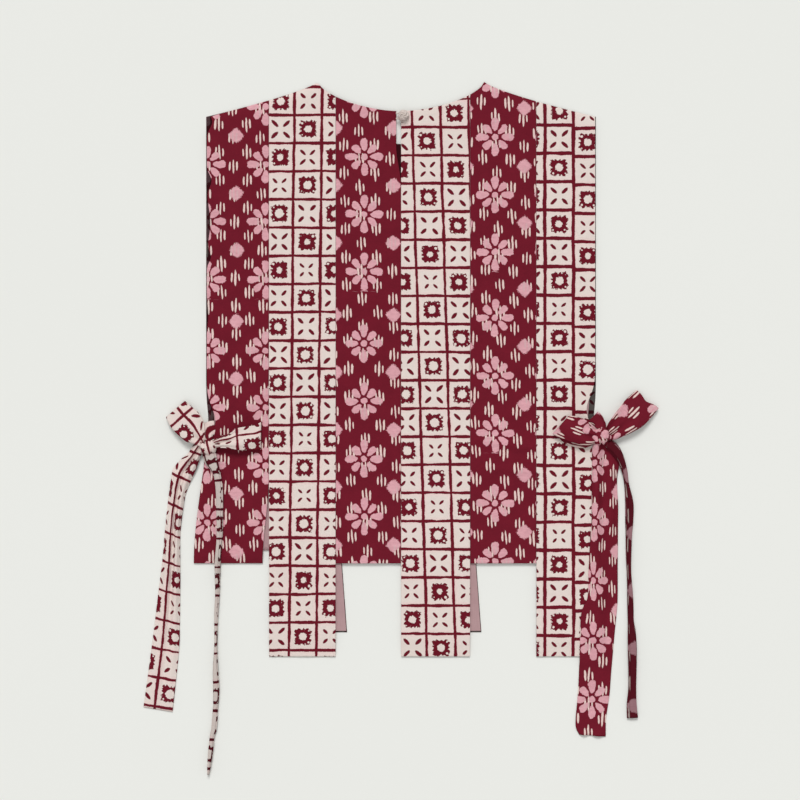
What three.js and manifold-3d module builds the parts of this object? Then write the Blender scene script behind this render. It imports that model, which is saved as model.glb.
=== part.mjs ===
// A sleeveless patchwork blouse with a bow at each side, laid flat with its back uppermost.
// Millimetres, +Z up, X across the garment and +Y towards the neck. Heights on the garment are measured down from the
// high point of the shoulder, which is y = 0 here; at the end the whole is moved so that the origin is the bottom centre
// of its box. Each panel is six strips, lined, and joined to the other panel only at the shoulders and by the ties.
import * as THREE from "three";
import Module from "manifold-3d";
import { mergeVertices } from "three/addons/utils/BufferGeometryUtils.js";

const wasm = await Module();
wasm.setup();

// --- Driving dimensions -------------------------------------------------------------------------------------------
const STRIP_WIDTHS = [80, 86, 84, 89, 85, 76]; // finished, from the wearer's left as it lies to the right
const HALF_WIDTH = 250;
const BACK = { name: "back", long: 740, short: 620, neckDepth: 38 }; // lengths from the high point of the shoulder
const FRONT = { name: "front", long: 709, short: 603, neckDepth: 80 };
const NECK_HALF = 107;
const SHOULDER_DROP = 45;
const SLIT_TOP = -510; // the strips hang free of each other below this line
const TIE_Y = -445; // where the ties pull on the side edges

const WALL = 1; // cloth and lining
const GAP = 0.3; // between sewn or stacked pieces
const LAYER = WALL + GAP;
const LINING_INSET = 2; // the lining ends inside the cloth's edges
const SHOULDER_ROLL = 14; // over this length the back turns down to meet the front at the shoulder seam

const NECK_SLIT_END = -133;
const NECK_SLIT_WIDTH = 6;
const FRONT_LEAN = 0.074; // sideways drift of the front's free strips for each millimetre down
const FLARE_OUTER = 17; // how far the first back strip's outer and inner corners stray at its hem
const FLARE_INNER = 8;
const TIE_PULL = 9;
const TIE_PULL_REACH = 34;
const SHOULDER_CURVE = 0.8; // below 1 the shoulder falls a little faster near the neck

const TIE_WIDTH = 38;
const BRIDGE = 14; // a tie comes down from the garment's edge to the table over this distance

// --- Outline --------------------------------------------------------------------------------------------------------
const seams = STRIP_WIDTHS.reduce((edges, width) => [...edges, edges.at(-1) + width], [-HALF_WIDTH]);
const isLong = (strip) => strip % 2 === 1;
const hemY = (panel, strip) => -(isLong(strip) ? panel.long : panel.short);
const mix = (a, b, t) => a + (b - a) * t;
const smooth = (t) => THREE.MathUtils.smoothstep(t, 0, 1);

// The top edge: a shallow round neck between two sloping shoulders.
function topY(panel, x) {
  const across = Math.abs(x);
  if (across >= NECK_HALF) {
    return -SHOULDER_DROP * ((across - NECK_HALF) / (HALF_WIDTH - NECK_HALF)) ** SHOULDER_CURVE;
  }
  return -panel.neckDepth * (1 - (across / NECK_HALF) ** 1.8) ** 0.65;
}

// How far a point of a strip has strayed sideways from the flat cut.
function drift(panel, strip, across, y) {
  const outward = strip === 0 ? 1 - across : strip === 5 ? across : 0;
  const side = strip === 0 ? 1 : -1;
  const share = panel === BACK ? 1 : 0.25;
  const pulled = side * share * TIE_PULL * outward * Math.exp(-(((y - TIE_Y) / TIE_PULL_REACH) ** 2));
  if (panel === FRONT) return pulled + FRONT_LEAN * Math.max(0, SLIT_TOP - y);
  if (strip === 0) {
    const outer = FLARE_OUTER * smooth((TIE_Y - y) / (TIE_Y + BACK.short)) * (1 - across);
    const inner = FLARE_INNER * smooth((SLIT_TOP - y) / (SLIT_TOP + BACK.short)) * across;
    return pulled - outer - inner;
  }
  return pulled;
}

// The centre back seam stands open as a slit below the neck.
function neckSlit(panel, strip, across, y) {
  if (panel !== BACK || strip !== 2 || y < NECK_SLIT_END) return 0;
  return -NECK_SLIT_WIDTH * across ** 4 * smooth((y - NECK_SLIT_END) / 50);
}

function planPoint(panel, strip, across, y, inset = GAP / 2) {
  const flat = mix(seams[strip] + inset, seams[strip + 1] - inset, across);
  return flat + drift(panel, strip, across, y) + neckSlit(panel, strip, across, y);
}

// --- Heights --------------------------------------------------------------------------------------------------------
// Soft folds of the back: [from x, from y, to x, to y, height, half width]
const FOLDS = [
  [-236, -452, -120, -352, 2.2, 15],
  [-232, -484, -132, -566, 1.6, 13],
  [240, -440, 126, -340, 2.2, 15],
  [236, -470, 140, -600, 1.6, 14],
  [150, -40, 138, -230, 2.0, 16],
  [-150, -40, -160, -210, 1.4, 15],
  [-40, -170, -52, -420, 1.5, 20],
  [60, -200, 44, -470, 1.3, 20],
];

function foldHeight(x, y) {
  const point = new THREE.Vector2(x, y);
  return FOLDS.reduce((sum, [ax, ay, bx, by, height, reach]) => {
    const along = new THREE.Vector2(bx - ax, by - ay);
    const t = THREE.MathUtils.clamp(point.clone().sub({ x: ax, y: ay }).dot(along) / along.lengthSq(), 0, 1);
    const away = point.distanceTo(along.clone().multiplyScalar(t).add({ x: ax, y: ay }));
    return sum + height * Math.sin(Math.PI * mix(0.15, 1, 1 - t) * 0.9) * Math.exp(-((away / reach) ** 2));
  }, 0);
}

// 1 where the front lies under the back, falling to 0 past the front's hem and its left edge.
function frontUnder(strip, x, y) {
  const frontHem = hemY(FRONT, strip);
  const onTabs = strip === 2 || strip === 4; // these rest on the front's longer strips at either side
  const pastHem = onTabs ? 0 : smooth((frontHem - 6 - y) / (frontHem - 6 - hemY(BACK, strip)));
  const frontLeft = -HALF_WIDTH + FRONT_LEAN * Math.max(0, SLIT_TOP - y);
  const pastSide = smooth((frontLeft - 14 - x) / 12);
  return 1 - Math.max(pastHem, pastSide);
}

const liningZ = (strip, x, y) => 0.3 + (2 * LAYER - 0.3) * frontUnder(strip, x, y) + foldHeight(x, y);

// At the shoulders the back turns down to lie 0.3 mm above the front.
function backZ(strip, x, y) {
  const flat = liningZ(strip, x, y) + LAYER;
  const rolls = smooth((Math.abs(x) - NECK_HALF + SHOULDER_ROLL) / SHOULDER_ROLL);
  const turned = 1 - Math.min(1, (topY(BACK, x) - y) / SHOULDER_ROLL);
  return mix(flat, LAYER, rolls * turned);
}

// --- Lines of the back's grid, shared by its cloth and its lining -------------------------------------------------------
const FIXED_LINES = [-740, -729, -715, -680, -645, -620, -609, -570, -510, -450, -395, -340, -280, -220, -165];
const highPoint = (strip, x) => (x - seams[strip]) / STRIP_WIDTHS[strip];
const NECK_COLUMNS = [0, 0.25, 0.5, 0.75, 1];
const COLUMNS = [
  [0, 0.25, 0.6, 1],
  [0, 0.37, highPoint(1, SHOULDER_ROLL - NECK_HALF - 28), highPoint(1, -NECK_HALF), highPoint(1, SHOULDER_ROLL - NECK_HALF), 1],
  [0, 0.3, 0.6, 0.85, 1],
  NECK_COLUMNS,
  [0, highPoint(4, NECK_HALF - SHOULDER_ROLL), highPoint(4, NECK_HALF), 0.4, 0.7, 1],
  [0, 0.35, 0.7, 1],
];

function linesAt(x) {
  const last = FIXED_LINES.at(-1);
  const rollStart = topY(BACK, x) - SHOULDER_ROLL;
  return [...FIXED_LINES, ...[0.25, 0.5, 0.75, 1].map((t) => mix(last, rollStart, t)), topY(BACK, x)];
}

function between(stops, value) {
  const upper = THREE.MathUtils.clamp(stops.findIndex((s) => s >= value), 1, stops.length - 1);
  return [upper - 1, upper, (value - stops[upper - 1]) / (stops[upper] - stops[upper - 1])];
}

// Height of the underside of the back's cloth, straight between the grid's points.
function gridZ(strip, across, y) {
  const columns = COLUMNS[strip];
  const [left, right, share] = between(columns, across);
  const [zLeft, zRight] = [left, right].map((column) => {
    const flat = mix(seams[strip], seams[strip + 1], columns[column]);
    const lines = linesAt(flat);
    const [below, above, t] = between(lines, y);
    const height = (line) => backZ(strip, planPoint(BACK, strip, columns[column], line), line);
    return mix(height(lines[below]), height(lines[above]), t);
  });
  return mix(zLeft, zRight, share);
}

// --- Solids ---------------------------------------------------------------------------------------------------------
// A closed wall between two faces of the same grid, rows running along +Y or along a ribbon.
function wall(lower, upper) {
  const rows = lower.length;
  const columns = lower[0].length;
  const points = [...lower.flat(), ...upper.flat()];
  const at = (face, row, column) => face * rows * columns + row * columns + column;
  const index = [];
  const quad = (a, b, c, d) => index.push(a, b, c, a, c, d);
  const lastRow = rows - 1;
  const lastColumn = columns - 1;
  for (let r = 0; r < lastRow; r++) {
    for (let c = 0; c < lastColumn; c++) {
      quad(at(1, r, c), at(1, r, c + 1), at(1, r + 1, c + 1), at(1, r + 1, c));
      quad(at(0, r, c), at(0, r + 1, c), at(0, r + 1, c + 1), at(0, r, c + 1));
    }
    quad(at(0, r + 1, 0), at(0, r, 0), at(1, r, 0), at(1, r + 1, 0));
    quad(at(0, r, lastColumn), at(0, r + 1, lastColumn), at(1, r + 1, lastColumn), at(1, r, lastColumn));
  }
  for (let c = 0; c < lastColumn; c++) {
    quad(at(0, 0, c), at(0, 0, c + 1), at(1, 0, c + 1), at(1, 0, c));
    quad(at(0, lastRow, c + 1), at(0, lastRow, c), at(1, lastRow, c), at(1, lastRow, c + 1));
  }
  const geometry = new THREE.BufferGeometry().setFromPoints(points);
  geometry.setIndex(index);
  return geometry;
}

function solidOf(geometry) {
  const plain = geometry.clone();
  plain.deleteAttribute("normal");
  plain.deleteAttribute("uv");
  const merged = mergeVertices(plain, 1e-4);
  const vertProperties = new Float32Array(merged.attributes.position.array);
  return new wasm.Manifold(
    new wasm.Mesh({ numProp: 3, vertProperties, triVerts: new Uint32Array(merged.index.array) }),
  );
}

function geometryOf(solid) {
  const mesh = solid.getMesh();
  const positions = [];
  for (let i = 0; i < mesh.numVert; i++) {
    positions.push(...mesh.vertProperties.subarray(i * mesh.numProp, i * mesh.numProp + 3));
  }
  const geometry = new THREE.BufferGeometry();
  geometry.setAttribute("position", new THREE.Float32BufferAttribute(positions, 3));
  geometry.setIndex(Array.from(mesh.triVerts));
  return geometry;
}

const cut = (geometry, ...cutters) =>
  geometryOf(cutters.reduce((solid, cutter) => solid.subtract(solidOf(cutter)), solidOf(geometry)));

const grid = (rows, columns, point) => rows.map((r) => columns.map((c) => point(r, c)));
const raised = (rows, height) => rows.map((row) => row.map((p) => p.clone().add(new THREE.Vector3(0, 0, height))));

// --- Strips ---------------------------------------------------------------------------------------------------------
const FRONT_LINES = [-575, -510, -480, -445, -410, -165];

function stripLines(panel, strip, x) {
  const hem = hemY(panel, strip);
  const lines = panel === BACK ? linesAt(x) : [...FRONT_LINES, topY(FRONT, x)];
  return [hem, ...lines.filter((y) => y > hem + 1)];
}

function stripSolid(panel, strip) {
  const rows = stripLines(panel, strip, 0).map((_, row) => row);
  const lower = grid(rows, COLUMNS[strip], (row, across) => {
    const y = stripLines(panel, strip, mix(seams[strip], seams[strip + 1], across))[row];
    const x = planPoint(panel, strip, across, y);
    return new THREE.Vector3(x, y, panel === BACK ? gridZ(strip, across, y) : 0);
  });
  return wall(lower, raised(lower, WALL));
}

// --- Linings --------------------------------------------------------------------------------------------------------
function liningLines(panel, x) {
  const nearNeck = Math.abs(x) < NECK_HALF - SHOULDER_ROLL - 1;
  const top = topY(panel, x) - (nearNeck ? LINING_INSET : SHOULDER_ROLL);
  const lines = panel === BACK ? linesAt(x).slice(1, -2) : FRONT_LINES;
  return [-panel.long + LINING_INSET, ...lines, top];
}

// A block through the lining between two side lines, to cut it away.
function cutter(bottom, top, left, right) {
  const levels = FIXED_LINES.filter((y) => y > bottom && y < top);
  const floor = grid([bottom, ...levels, top], [left, right], (y, side) => new THREE.Vector3(side(y), y, -10));
  return wall(floor, raised(floor, 40));
}

// One cloth with a slit below SLIT_TOP at each seam; the short strips' tabs are cut off.
function liningSolid(panel) {
  const columns = STRIP_WIDTHS.flatMap((_, strip) => COLUMNS[strip].map((across) => [strip, across]));
  const insetShare = { "0,0": LINING_INSET / STRIP_WIDTHS[0], "5,1": -LINING_INSET / STRIP_WIDTHS[5] };
  const rows = liningLines(panel, 0).map((_, row) => row);
  const lower = grid(rows, columns, (row, [strip, column]) => {
    const y = liningLines(panel, mix(seams[strip], seams[strip + 1], column))[row];
    const across = column + (insetShare[`${strip},${column}`] ?? 0);
    const x = planPoint(panel, strip, across, y);
    return new THREE.Vector3(x, y, panel === BACK ? gridZ(strip, across, y) - LAYER : LAYER);
  });
  const below = -panel.long - 10;
  const slits = seams.slice(1, -1).map((_, i) =>
    cutter(below, SLIT_TOP, (y) => planPoint(panel, i, 1, y, 1), (y) => planPoint(panel, i + 1, 0, y, 1)),
  );
  const tabs = [0, 2, 4].map((strip) => {
    const [left, right] = [(y) => planPoint(panel, strip, 0, y) - 4, (y) => planPoint(panel, strip, 1, y)];
    return cutter(below, hemY(panel, strip) + LINING_INSET, left, right);
  });
  const neck = cutter(NECK_SLIT_END, 10, (y) => planPoint(BACK, 2, 1, y, 1.2), (y) => planPoint(BACK, 3, 0, y, 1.2));
  return cut(wall(lower, raised(lower, WALL)), ...slits, ...tabs, ...(panel === BACK ? [neck] : []));
}

// --- Ties -----------------------------------------------------------------------------------------------------------
// Height of what a tie lies on: the back's cloth, then down to the table past its edges.
function clothTop(x, y) {
  const strip = x < 0 ? 0 : 5;
  const inY = Math.max(y, hemY(BACK, strip));
  const [left, right] = [0, 1].map((across) => planPoint(BACK, strip, across, inY));
  const outside = Math.max(left - x, x - right, inY - y, 0);
  const across = THREE.MathUtils.clamp((x - left) / (right - left), 0, 1);
  return (gridZ(strip, across, inY) + WALL) * (1 - smooth((outside - 1) / BRIDGE));
}

// The highest of it within reach of a tie's next section.
const REACH = 13;
const AROUND = [0, 45, 90, 135, 180, 225, 270, 315].map((degrees) => THREE.MathUtils.degToRad(degrees));
function ground(x, y) {
  const rim = AROUND.map((angle) => clothTop(x + REACH * Math.cos(angle), y + REACH * Math.sin(angle)));
  return Math.max(clothTop(x, y), ...rim);
}

// Sections along a plan path: a place, the direction across, and the share of the way along.
function sections(points, count) {
  const curve = new THREE.CatmullRomCurve3(points.map(([x, y]) => new THREE.Vector3(x, y, 0)), false, "centripetal");
  return Array.from({ length: count }, (_, i) => {
    const share = i / (count - 1);
    const along = curve.getTangentAt(share);
    return { at: curve.getPointAt(share), across: new THREE.Vector3(-along.y, along.x, 0), share };
  });
}

// Piecewise-linear value along a piece: stops are [share, value].
function valueAt(stops, share) {
  const next = stops.findIndex(([s]) => s >= share);
  if (next <= 0) return stops.at(next)[1];
  const [[s0, v0], [s1, v1]] = stops.slice(next - 1, next + 1);
  return mix(v0, v1, (share - s0) / (s1 - s0));
}

// A tail that leaves the knot gathered in pleats and opens to its full width.
function pleatedTail({ path, widths }) {
  const folds = 6;
  const columns = Array.from({ length: folds + 1 }, (_, i) => i);
  const lower = sections(path, 13).map(({ at, across, share }) => {
    const width = valueAt(widths, share);
    const rise = Math.sqrt(Math.max(0, TIE_WIDTH ** 2 - width ** 2)) / folds;
    return columns.map((i) => {
      const p = at.clone().addScaledVector(across, (0.5 - i / folds) * width);
      return new THREE.Vector3(p.x, p.y, ground(p.x, p.y) + GAP + (i % 2) * rise);
    });
  });
  return wall(lower, raised(lower, WALL));
}

// A tail folded lengthwise on itself: its plies share one solid.
function foldedTail({ path, widths, height }) {
  const lower = sections(path, 16).map(({ at, across, share }) =>
    [0.5, 0, -0.5].map((side) => {
      const p = at.clone().addScaledVector(across, side * valueAt(widths, share));
      return new THREE.Vector3(p.x, p.y, ground(p.x, p.y) + GAP);
    }),
  );
  const upper = lower.map((row) => row.map((p, i) => p.clone().setZ(p.z + (i === 1 ? height : 0.6 * height))));
  return wall(lower, upper);
}

// A loop: a ribbon that leaves the knot, folds over at its far end and comes back underneath.
const LOOP_PROFILE = [
  // [share of the length, height above what it lies on] of the inside face
  [0.0, 10.2],
  [0.3, 11],
  [0.62, 10.5],
  [0.86, 8],
  [0.97, 6],
  [1.0, 4],
  [0.97, 2.2],
  [0.86, 1.2],
  [0.55, 1.2],
  [0.3, 3.2],
  [0.0, 7.4],
];

function loopSolid({ start, end, width }) {
  const from = new THREE.Vector2(...start);
  const to = new THREE.Vector2(...end);
  const along = to.clone().sub(from);
  const length = along.length();
  along.normalize();
  const across = new THREE.Vector2(-along.y, along.x);
  const inner = LOOP_PROFILE.map(([share, height]) => {
    const half = 0.5 * mix(9, width, smooth(share * 1.15));
    return [1, 0.5, 0, -0.5, -1].map((side) => {
      const p = from.clone().addScaledVector(along, share * length).addScaledVector(across, side * half);
      return new THREE.Vector3(p.x, p.y, ground(p.x, p.y) + GAP + height);
    });
  });
  const outer = inner.map((row, i) => {
    const [before, after] = [LOOP_PROFILE[Math.max(0, i - 1)], LOOP_PROFILE[Math.min(inner.length - 1, i + 1)]];
    const run = new THREE.Vector2((after[0] - before[0]) * length, after[1] - before[1]).normalize();
    const out = new THREE.Vector3(-run.y * along.x, -run.y * along.y, run.x);
    return row.map((p) => p.clone().addScaledVector(out, WALL));
  });
  return wall(inner, outer);
}

// The stretch of a tie that turns down from its panel's side edge into the knot, as a fan about its inner corner.
function rootSolid({ side, corner, radii, turn, edgeZ, knotZ }) {
  const rows = radii.map((_, i) => i / (radii.length - 1));
  const lower = grid(rows, [1, 0.5, 0], (share, out) => {
    const angle = Math.PI / 2 - side * THREE.MathUtils.degToRad(turn * share);
    const reach = mix(1.5, radii[Math.round(share * (radii.length - 1))], out);
    return new THREE.Vector3(
      corner[0] + reach * Math.cos(angle),
      corner[1] + reach * Math.sin(angle),
      mix(edgeZ, knotZ, smooth(share)),
    );
  });
  const facing = side < 0 ? lower.map((row) => row.toReversed()) : lower;
  return wall(facing, raised(facing, WALL));
}

const KNOT_RADII = [10.5, 9.5, 6.2];

function knotShape(knot, grow = 0) {
  const [rx, ry, rz] = KNOT_RADII.map((r) => r + grow);
  const shape = new THREE.SphereGeometry(1, 14, 8);
  shape.scale(rx, ry, rz);
  shape.rotateZ(knot.turn);
  shape.translate(knot.x, knot.y, knot.z);
  return shape;
}

const knotAt = (x, y, turn) => ({ x, y, turn, z: ground(x, y) + GAP + 0.2 + KNOT_RADII[2] });

const LEFT = {
  name: "left",
  side: -1,
  knot: knotAt(-247, -470, 0.5),
  frontCorner: [-249.2, -457],
  root: { corner: [-244.6, -456], radii: [22, 19, 16, 13.5, 12, 11, 10], turn: 155 },
  loopOut: { start: [-250, -470], end: [-291, -422], width: 34 },
  loopIn: { start: [-246, -470], end: [-180, -457], width: 37 },
  wide: {
    path: [[-250, -474], [-262, -484], [-279, -508], [-289, -537], [-295, -592], [-302, -700], [-313, -808]],
    widths: [[0, 6], [0.05, 14], [0.1, 21], [0.35, 22], [0.75, 34], [1, 38]],
  },
  narrow: {
    path: [[-241, -476], [-240, -490], [-235, -512], [-231, -547], [-233, -587], [-237, -660], [-239, -775], [-248, -893]],
    widths: [[0, 8], [0.06, 12], [0.12, 9], [0.6, 8], [0.8, 9], [0.95, 6], [1, 2.5]],
    height: 4.5,
  },
};
const RIGHT = {
  name: "right",
  side: 1,
  knot: knotAt(256, -456, -0.4),
  frontCorner: [250.6, -442],
  root: { corner: [246, -442], radii: [22, 20, 18, 16.5, 15, 13, 12], turn: 140 },
  loopOut: { start: [259, -456], end: [318, -408], width: 36 },
  loopIn: { start: [254, -457], end: [203, -441], width: 34 },
  wide: {
    path: [[257, -462], [262, -478], [264, -500], [263, -565], [259, -642], [252, -720], [249, -789], [244, -841]],
    widths: [[0, 8], [0.05, 22], [0.12, 32], [0.5, 35], [1, 38]],
  },
  narrow: {
    path: [[265, -460], [280, -470], [291, -490], [297, -530], [297, -616], [298, -700], [298, -818]],
    widths: [[0, 8], [0.08, 12], [0.14, 8], [0.5, 7], [0.8, 11], [1, 12]],
    height: 4.5,
  },
};

function tieSolids(bow) {
  const { name, side, knot } = bow;
  const clear = knotShape(knot, GAP + 0.1);
  const backRoot = rootSolid({ side, ...bow.root, edgeZ: 3 * LAYER, knotZ: 6.2 });
  const frontRoot = rootSolid({ side, ...bow.root, corner: bow.frontCorner, edgeZ: 0.3, knotZ: 3.9 });
  return {
    [`${name}_tie_root_back`]: cut(backRoot, clear),
    [`${name}_tie_root_front`]: cut(frontRoot, clear),
    [`${name}_bow_knot`]: knotShape(knot),
    [`${name}_bow_loop_outer`]: cut(loopSolid(bow.loopOut), clear),
    [`${name}_bow_loop_inner`]: cut(loopSolid(bow.loopIn), clear),
    [`${name}_tail_wide`]: cut(pleatedTail(bow.wide), clear),
    [`${name}_tail_narrow`]: cut(foldedTail(bow.narrow), clear),
  };
}

// --- Button and loop at the back neck -------------------------------------------------------------------------------
const BUTTON = { x: 3, y: -46, radius: 5.8, rise: 2.9, dome: 3.6 };
const LOOP_RADIUS = 1.1;
const buttonGround = backZ(3, BUTTON.x, BUTTON.y) + WALL + GAP;

function buttonSolid() {
  const { radius, rise, dome } = BUTTON;
  const arc = [0, 1, 2, 3, 4].map((i) => {
    const angle = (i / 4) * (Math.PI / 2);
    return new THREE.Vector2(radius * Math.cos(angle), rise + 0.6 + dome * Math.sin(angle));
  });
  arc.at(-1).x = 0;
  const profile = [new THREE.Vector2(0, 0), new THREE.Vector2(2, 0), new THREE.Vector2(2, rise), new THREE.Vector2(radius, rise), ...arc];
  const shape = new THREE.LatheGeometry(profile, 16);
  shape.rotateX(Math.PI / 2);
  shape.translate(BUTTON.x, BUTTON.y, buttonGround);
  return shape;
}

function buttonLoopSolid() {
  const edge = planPoint(BACK, 2, 1, BUTTON.y) + LOOP_RADIUS + GAP;
  const z = buttonGround + LOOP_RADIUS;
  const around = [130, 80, 35, 0, -35, -80, -130].map((degrees) => {
    const angle = THREE.MathUtils.degToRad(degrees);
    return new THREE.Vector3(BUTTON.x + 5.9 * Math.cos(angle), BUTTON.y + 5.9 * Math.sin(angle), z);
  });
  const end = (side) => new THREE.Vector3(edge, BUTTON.y + side * 2.2, z - 0.4);
  const path = new THREE.CatmullRomCurve3([end(1), ...around, end(-1)]);
  const section = new THREE.Shape().absarc(0, 0, LOOP_RADIUS, 0, Math.PI * 2);
  return new THREE.ExtrudeGeometry(section, { steps: 14, curveSegments: 5, extrudePath: path, bevelEnabled: false });
}

// --- The garment ----------------------------------------------------------------------------------------------------
const cloth = (color) => new THREE.MeshStandardMaterial({ color, roughness: 0.85, metalness: 0 });
const MAROON = cloth(0x76202f);
const CREAM = cloth(0xded2c5);
const ROSE = cloth(0xb99698);

const garment = new THREE.Group();
function add(name, geometry, material) {
  const mesh = new THREE.Mesh(geometry, material);
  mesh.name = name;
  garment.add(mesh);
}

for (const panel of [BACK, FRONT]) {
  STRIP_WIDTHS.forEach((_, strip) => {
    add(`${panel.name}_strip_${strip + 1}`, stripSolid(panel, strip), isLong(strip) ? CREAM : MAROON);
  });
  add(`${panel.name}_lining`, liningSolid(panel), ROSE);
}
for (const [name, geometry] of Object.entries(tieSolids(LEFT))) add(name, geometry, CREAM);
for (const [name, geometry] of Object.entries(tieSolids(RIGHT))) add(name, geometry, MAROON);
add("neck_button", buttonSolid(), CREAM);
add("neck_button_loop", buttonLoopSolid(), CREAM);

// The front lies at the shoulder seam 0.3 mm under the back, its lower face on the table.
const box = new THREE.Box3().setFromObject(garment);
const middle = box.getCenter(new THREE.Vector3());
garment.position.set(-middle.x, -middle.y, -box.min.z);

export default garment;
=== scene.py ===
"""A sleeveless blouse of hanging batik strips, laid flat with its back uppermost and a bow at each side.

Lengths are in millimetres in the garment's own frame: x across it from the centre back seam, y up from
the high point of the shoulder (so the hems are negative), and z up from the surface it lies on. put()
turns them into metres in the frame of the solids. Each piece of cloth is a thin shell on the form of its
solid, with its creases added, and carries a map named Cut, its place in metres on the uncut cloth, which
the two prints are drawn from.
"""

import math
from collections import namedtuple

import bpy
import numpy as np
from bpy.props import FloatProperty, FloatVectorProperty, PointerProperty
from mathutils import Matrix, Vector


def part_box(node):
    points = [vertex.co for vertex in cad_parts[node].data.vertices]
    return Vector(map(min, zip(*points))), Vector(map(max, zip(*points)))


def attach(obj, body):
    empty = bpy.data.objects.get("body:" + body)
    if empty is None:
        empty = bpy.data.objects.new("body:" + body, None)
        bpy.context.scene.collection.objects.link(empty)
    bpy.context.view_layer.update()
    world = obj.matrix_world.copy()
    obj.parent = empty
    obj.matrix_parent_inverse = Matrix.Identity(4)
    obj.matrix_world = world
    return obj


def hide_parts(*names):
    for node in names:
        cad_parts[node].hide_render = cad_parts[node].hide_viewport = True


bl_info = {
    "name": "Patchwork blouse with side ties",
    "version": (1, 0, 0),
    "blender": (4, 5, 0),
    "location": "3D View > Sidebar > Blouse",
    "description": "Builds the cloth, prints, bows and button of a blouse around its packed solids",
    "category": "Add Mesh",
}

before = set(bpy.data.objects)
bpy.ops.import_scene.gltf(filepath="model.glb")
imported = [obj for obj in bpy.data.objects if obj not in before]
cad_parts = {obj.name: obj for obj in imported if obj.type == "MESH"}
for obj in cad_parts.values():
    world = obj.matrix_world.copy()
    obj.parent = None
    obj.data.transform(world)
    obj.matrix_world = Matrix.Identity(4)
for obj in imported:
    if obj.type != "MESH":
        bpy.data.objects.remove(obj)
bpy.context.view_layer.update()

MM = 0.001
SEAM_GAP = 0.3
ORIGIN = np.array([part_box("back_strip_4")[0].x / MM - SEAM_GAP / 2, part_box("back_strip_2")[1].y / MM, 0.0])

# --- The cut of the garment, as its solids have it ------------------------------------------------
STRIP_WIDTHS = (80, 86, 84, 89, 85, 76)
HALF_WIDTH = 250
SEAMS = np.cumsum((-HALF_WIDTH, *STRIP_WIDTHS))
NECK_HALF = 107
SHOULDER_DROP = 45
SHOULDER_CURVE = 0.77
SLIT_TOP = -510
TIE_Y = -437
BACK = {"name": "back", "long": 740, "short": 620, "neck": 38}
FRONT = {"name": "front", "long": 709, "short": 603, "neck": 80}
NECK_SLIT_END = -133
NECK_SLIT_WIDTH = 6
FRONT_LEAN = 0.074
LAYER = 1.3

# How far the cloth has strayed from its cut: the bows' pull on the side edges and its reach along them,
# the rolled places of the left edge as [y, depth, reach], and the spread of strip 1 at its hem
TIE_PULL = 11
TIE_REACH = 24
EDGE_ROLLS = ((-52, 7, 11), (-128, 6, 11), (-182, 4.5, 26), (-226, 5, 9), (-300, 2, 16))
FRONT_PROUD = 1.2
FLARE_OUTER = 17
FLARE_INNER = 8

# Thicknesses of a strip, of the lining and of a tie
CLOTH = 0.8
LINING = 0.5
PLY = 1.1


def smooth(t):
    t = np.clip(t, 0, 1)
    return t * t * (3 - 2 * t)


def mix(a, b, t):
    return a + (b - a) * t


def hem_y(panel, strip):
    return -panel["long"] if strip % 2 else -panel["short"]


def top_y(panel, x):
    """The neck's curve between two sloping shoulders."""
    across = np.abs(x)
    outwards = (across - NECK_HALF) / (HALF_WIDTH - NECK_HALF)
    shoulder = -SHOULDER_DROP * np.clip(outwards, 0, 2) ** SHOULDER_CURVE
    neck = -panel["neck"] * np.clip(1 - (across / NECK_HALF) ** 1.8, 0, 1) ** 0.65
    return np.where(across >= NECK_HALF, shoulder, neck)


def bell(value, reach):
    return np.exp(-((value / reach) ** 2))


def drift(panel, strip, across, y):
    """How far a point of a strip has strayed sideways from the flat cut."""
    if panel is FRONT:
        pull = 0.25 * TIE_PULL * bell(y - TIE_Y, TIE_REACH)
        side = {0: 1 - across, 5: -across}.get(strip, 0)
        pull = pull - FRONT_PROUD
        return pull * side + FRONT_LEAN * np.maximum(0, SLIT_TOP - y)
    if strip == 0:
        rolled = sum(depth * bell(y - at, reach) for at, depth, reach in EDGE_ROLLS)
        pull = TIE_PULL * bell(y - TIE_Y, TIE_REACH) + rolled
        outer = FLARE_OUTER * smooth((TIE_Y - y) / (TIE_Y + BACK["short"])) * (1 - across)
        inner = FLARE_INNER * smooth((SLIT_TOP - y) / (SLIT_TOP + BACK["short"])) * across
        return pull * (1 - across) ** 2 - outer - inner
    if strip == 5:
        return -TIE_PULL * bell(y - TIE_Y - 14, TIE_REACH) * across**2
    if strip == 2:
        open_slit = smooth((y - NECK_SLIT_END) / 50) * (y > NECK_SLIT_END)
        return -NECK_SLIT_WIDTH * across**4 * open_slit
    return 0 * y


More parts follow.
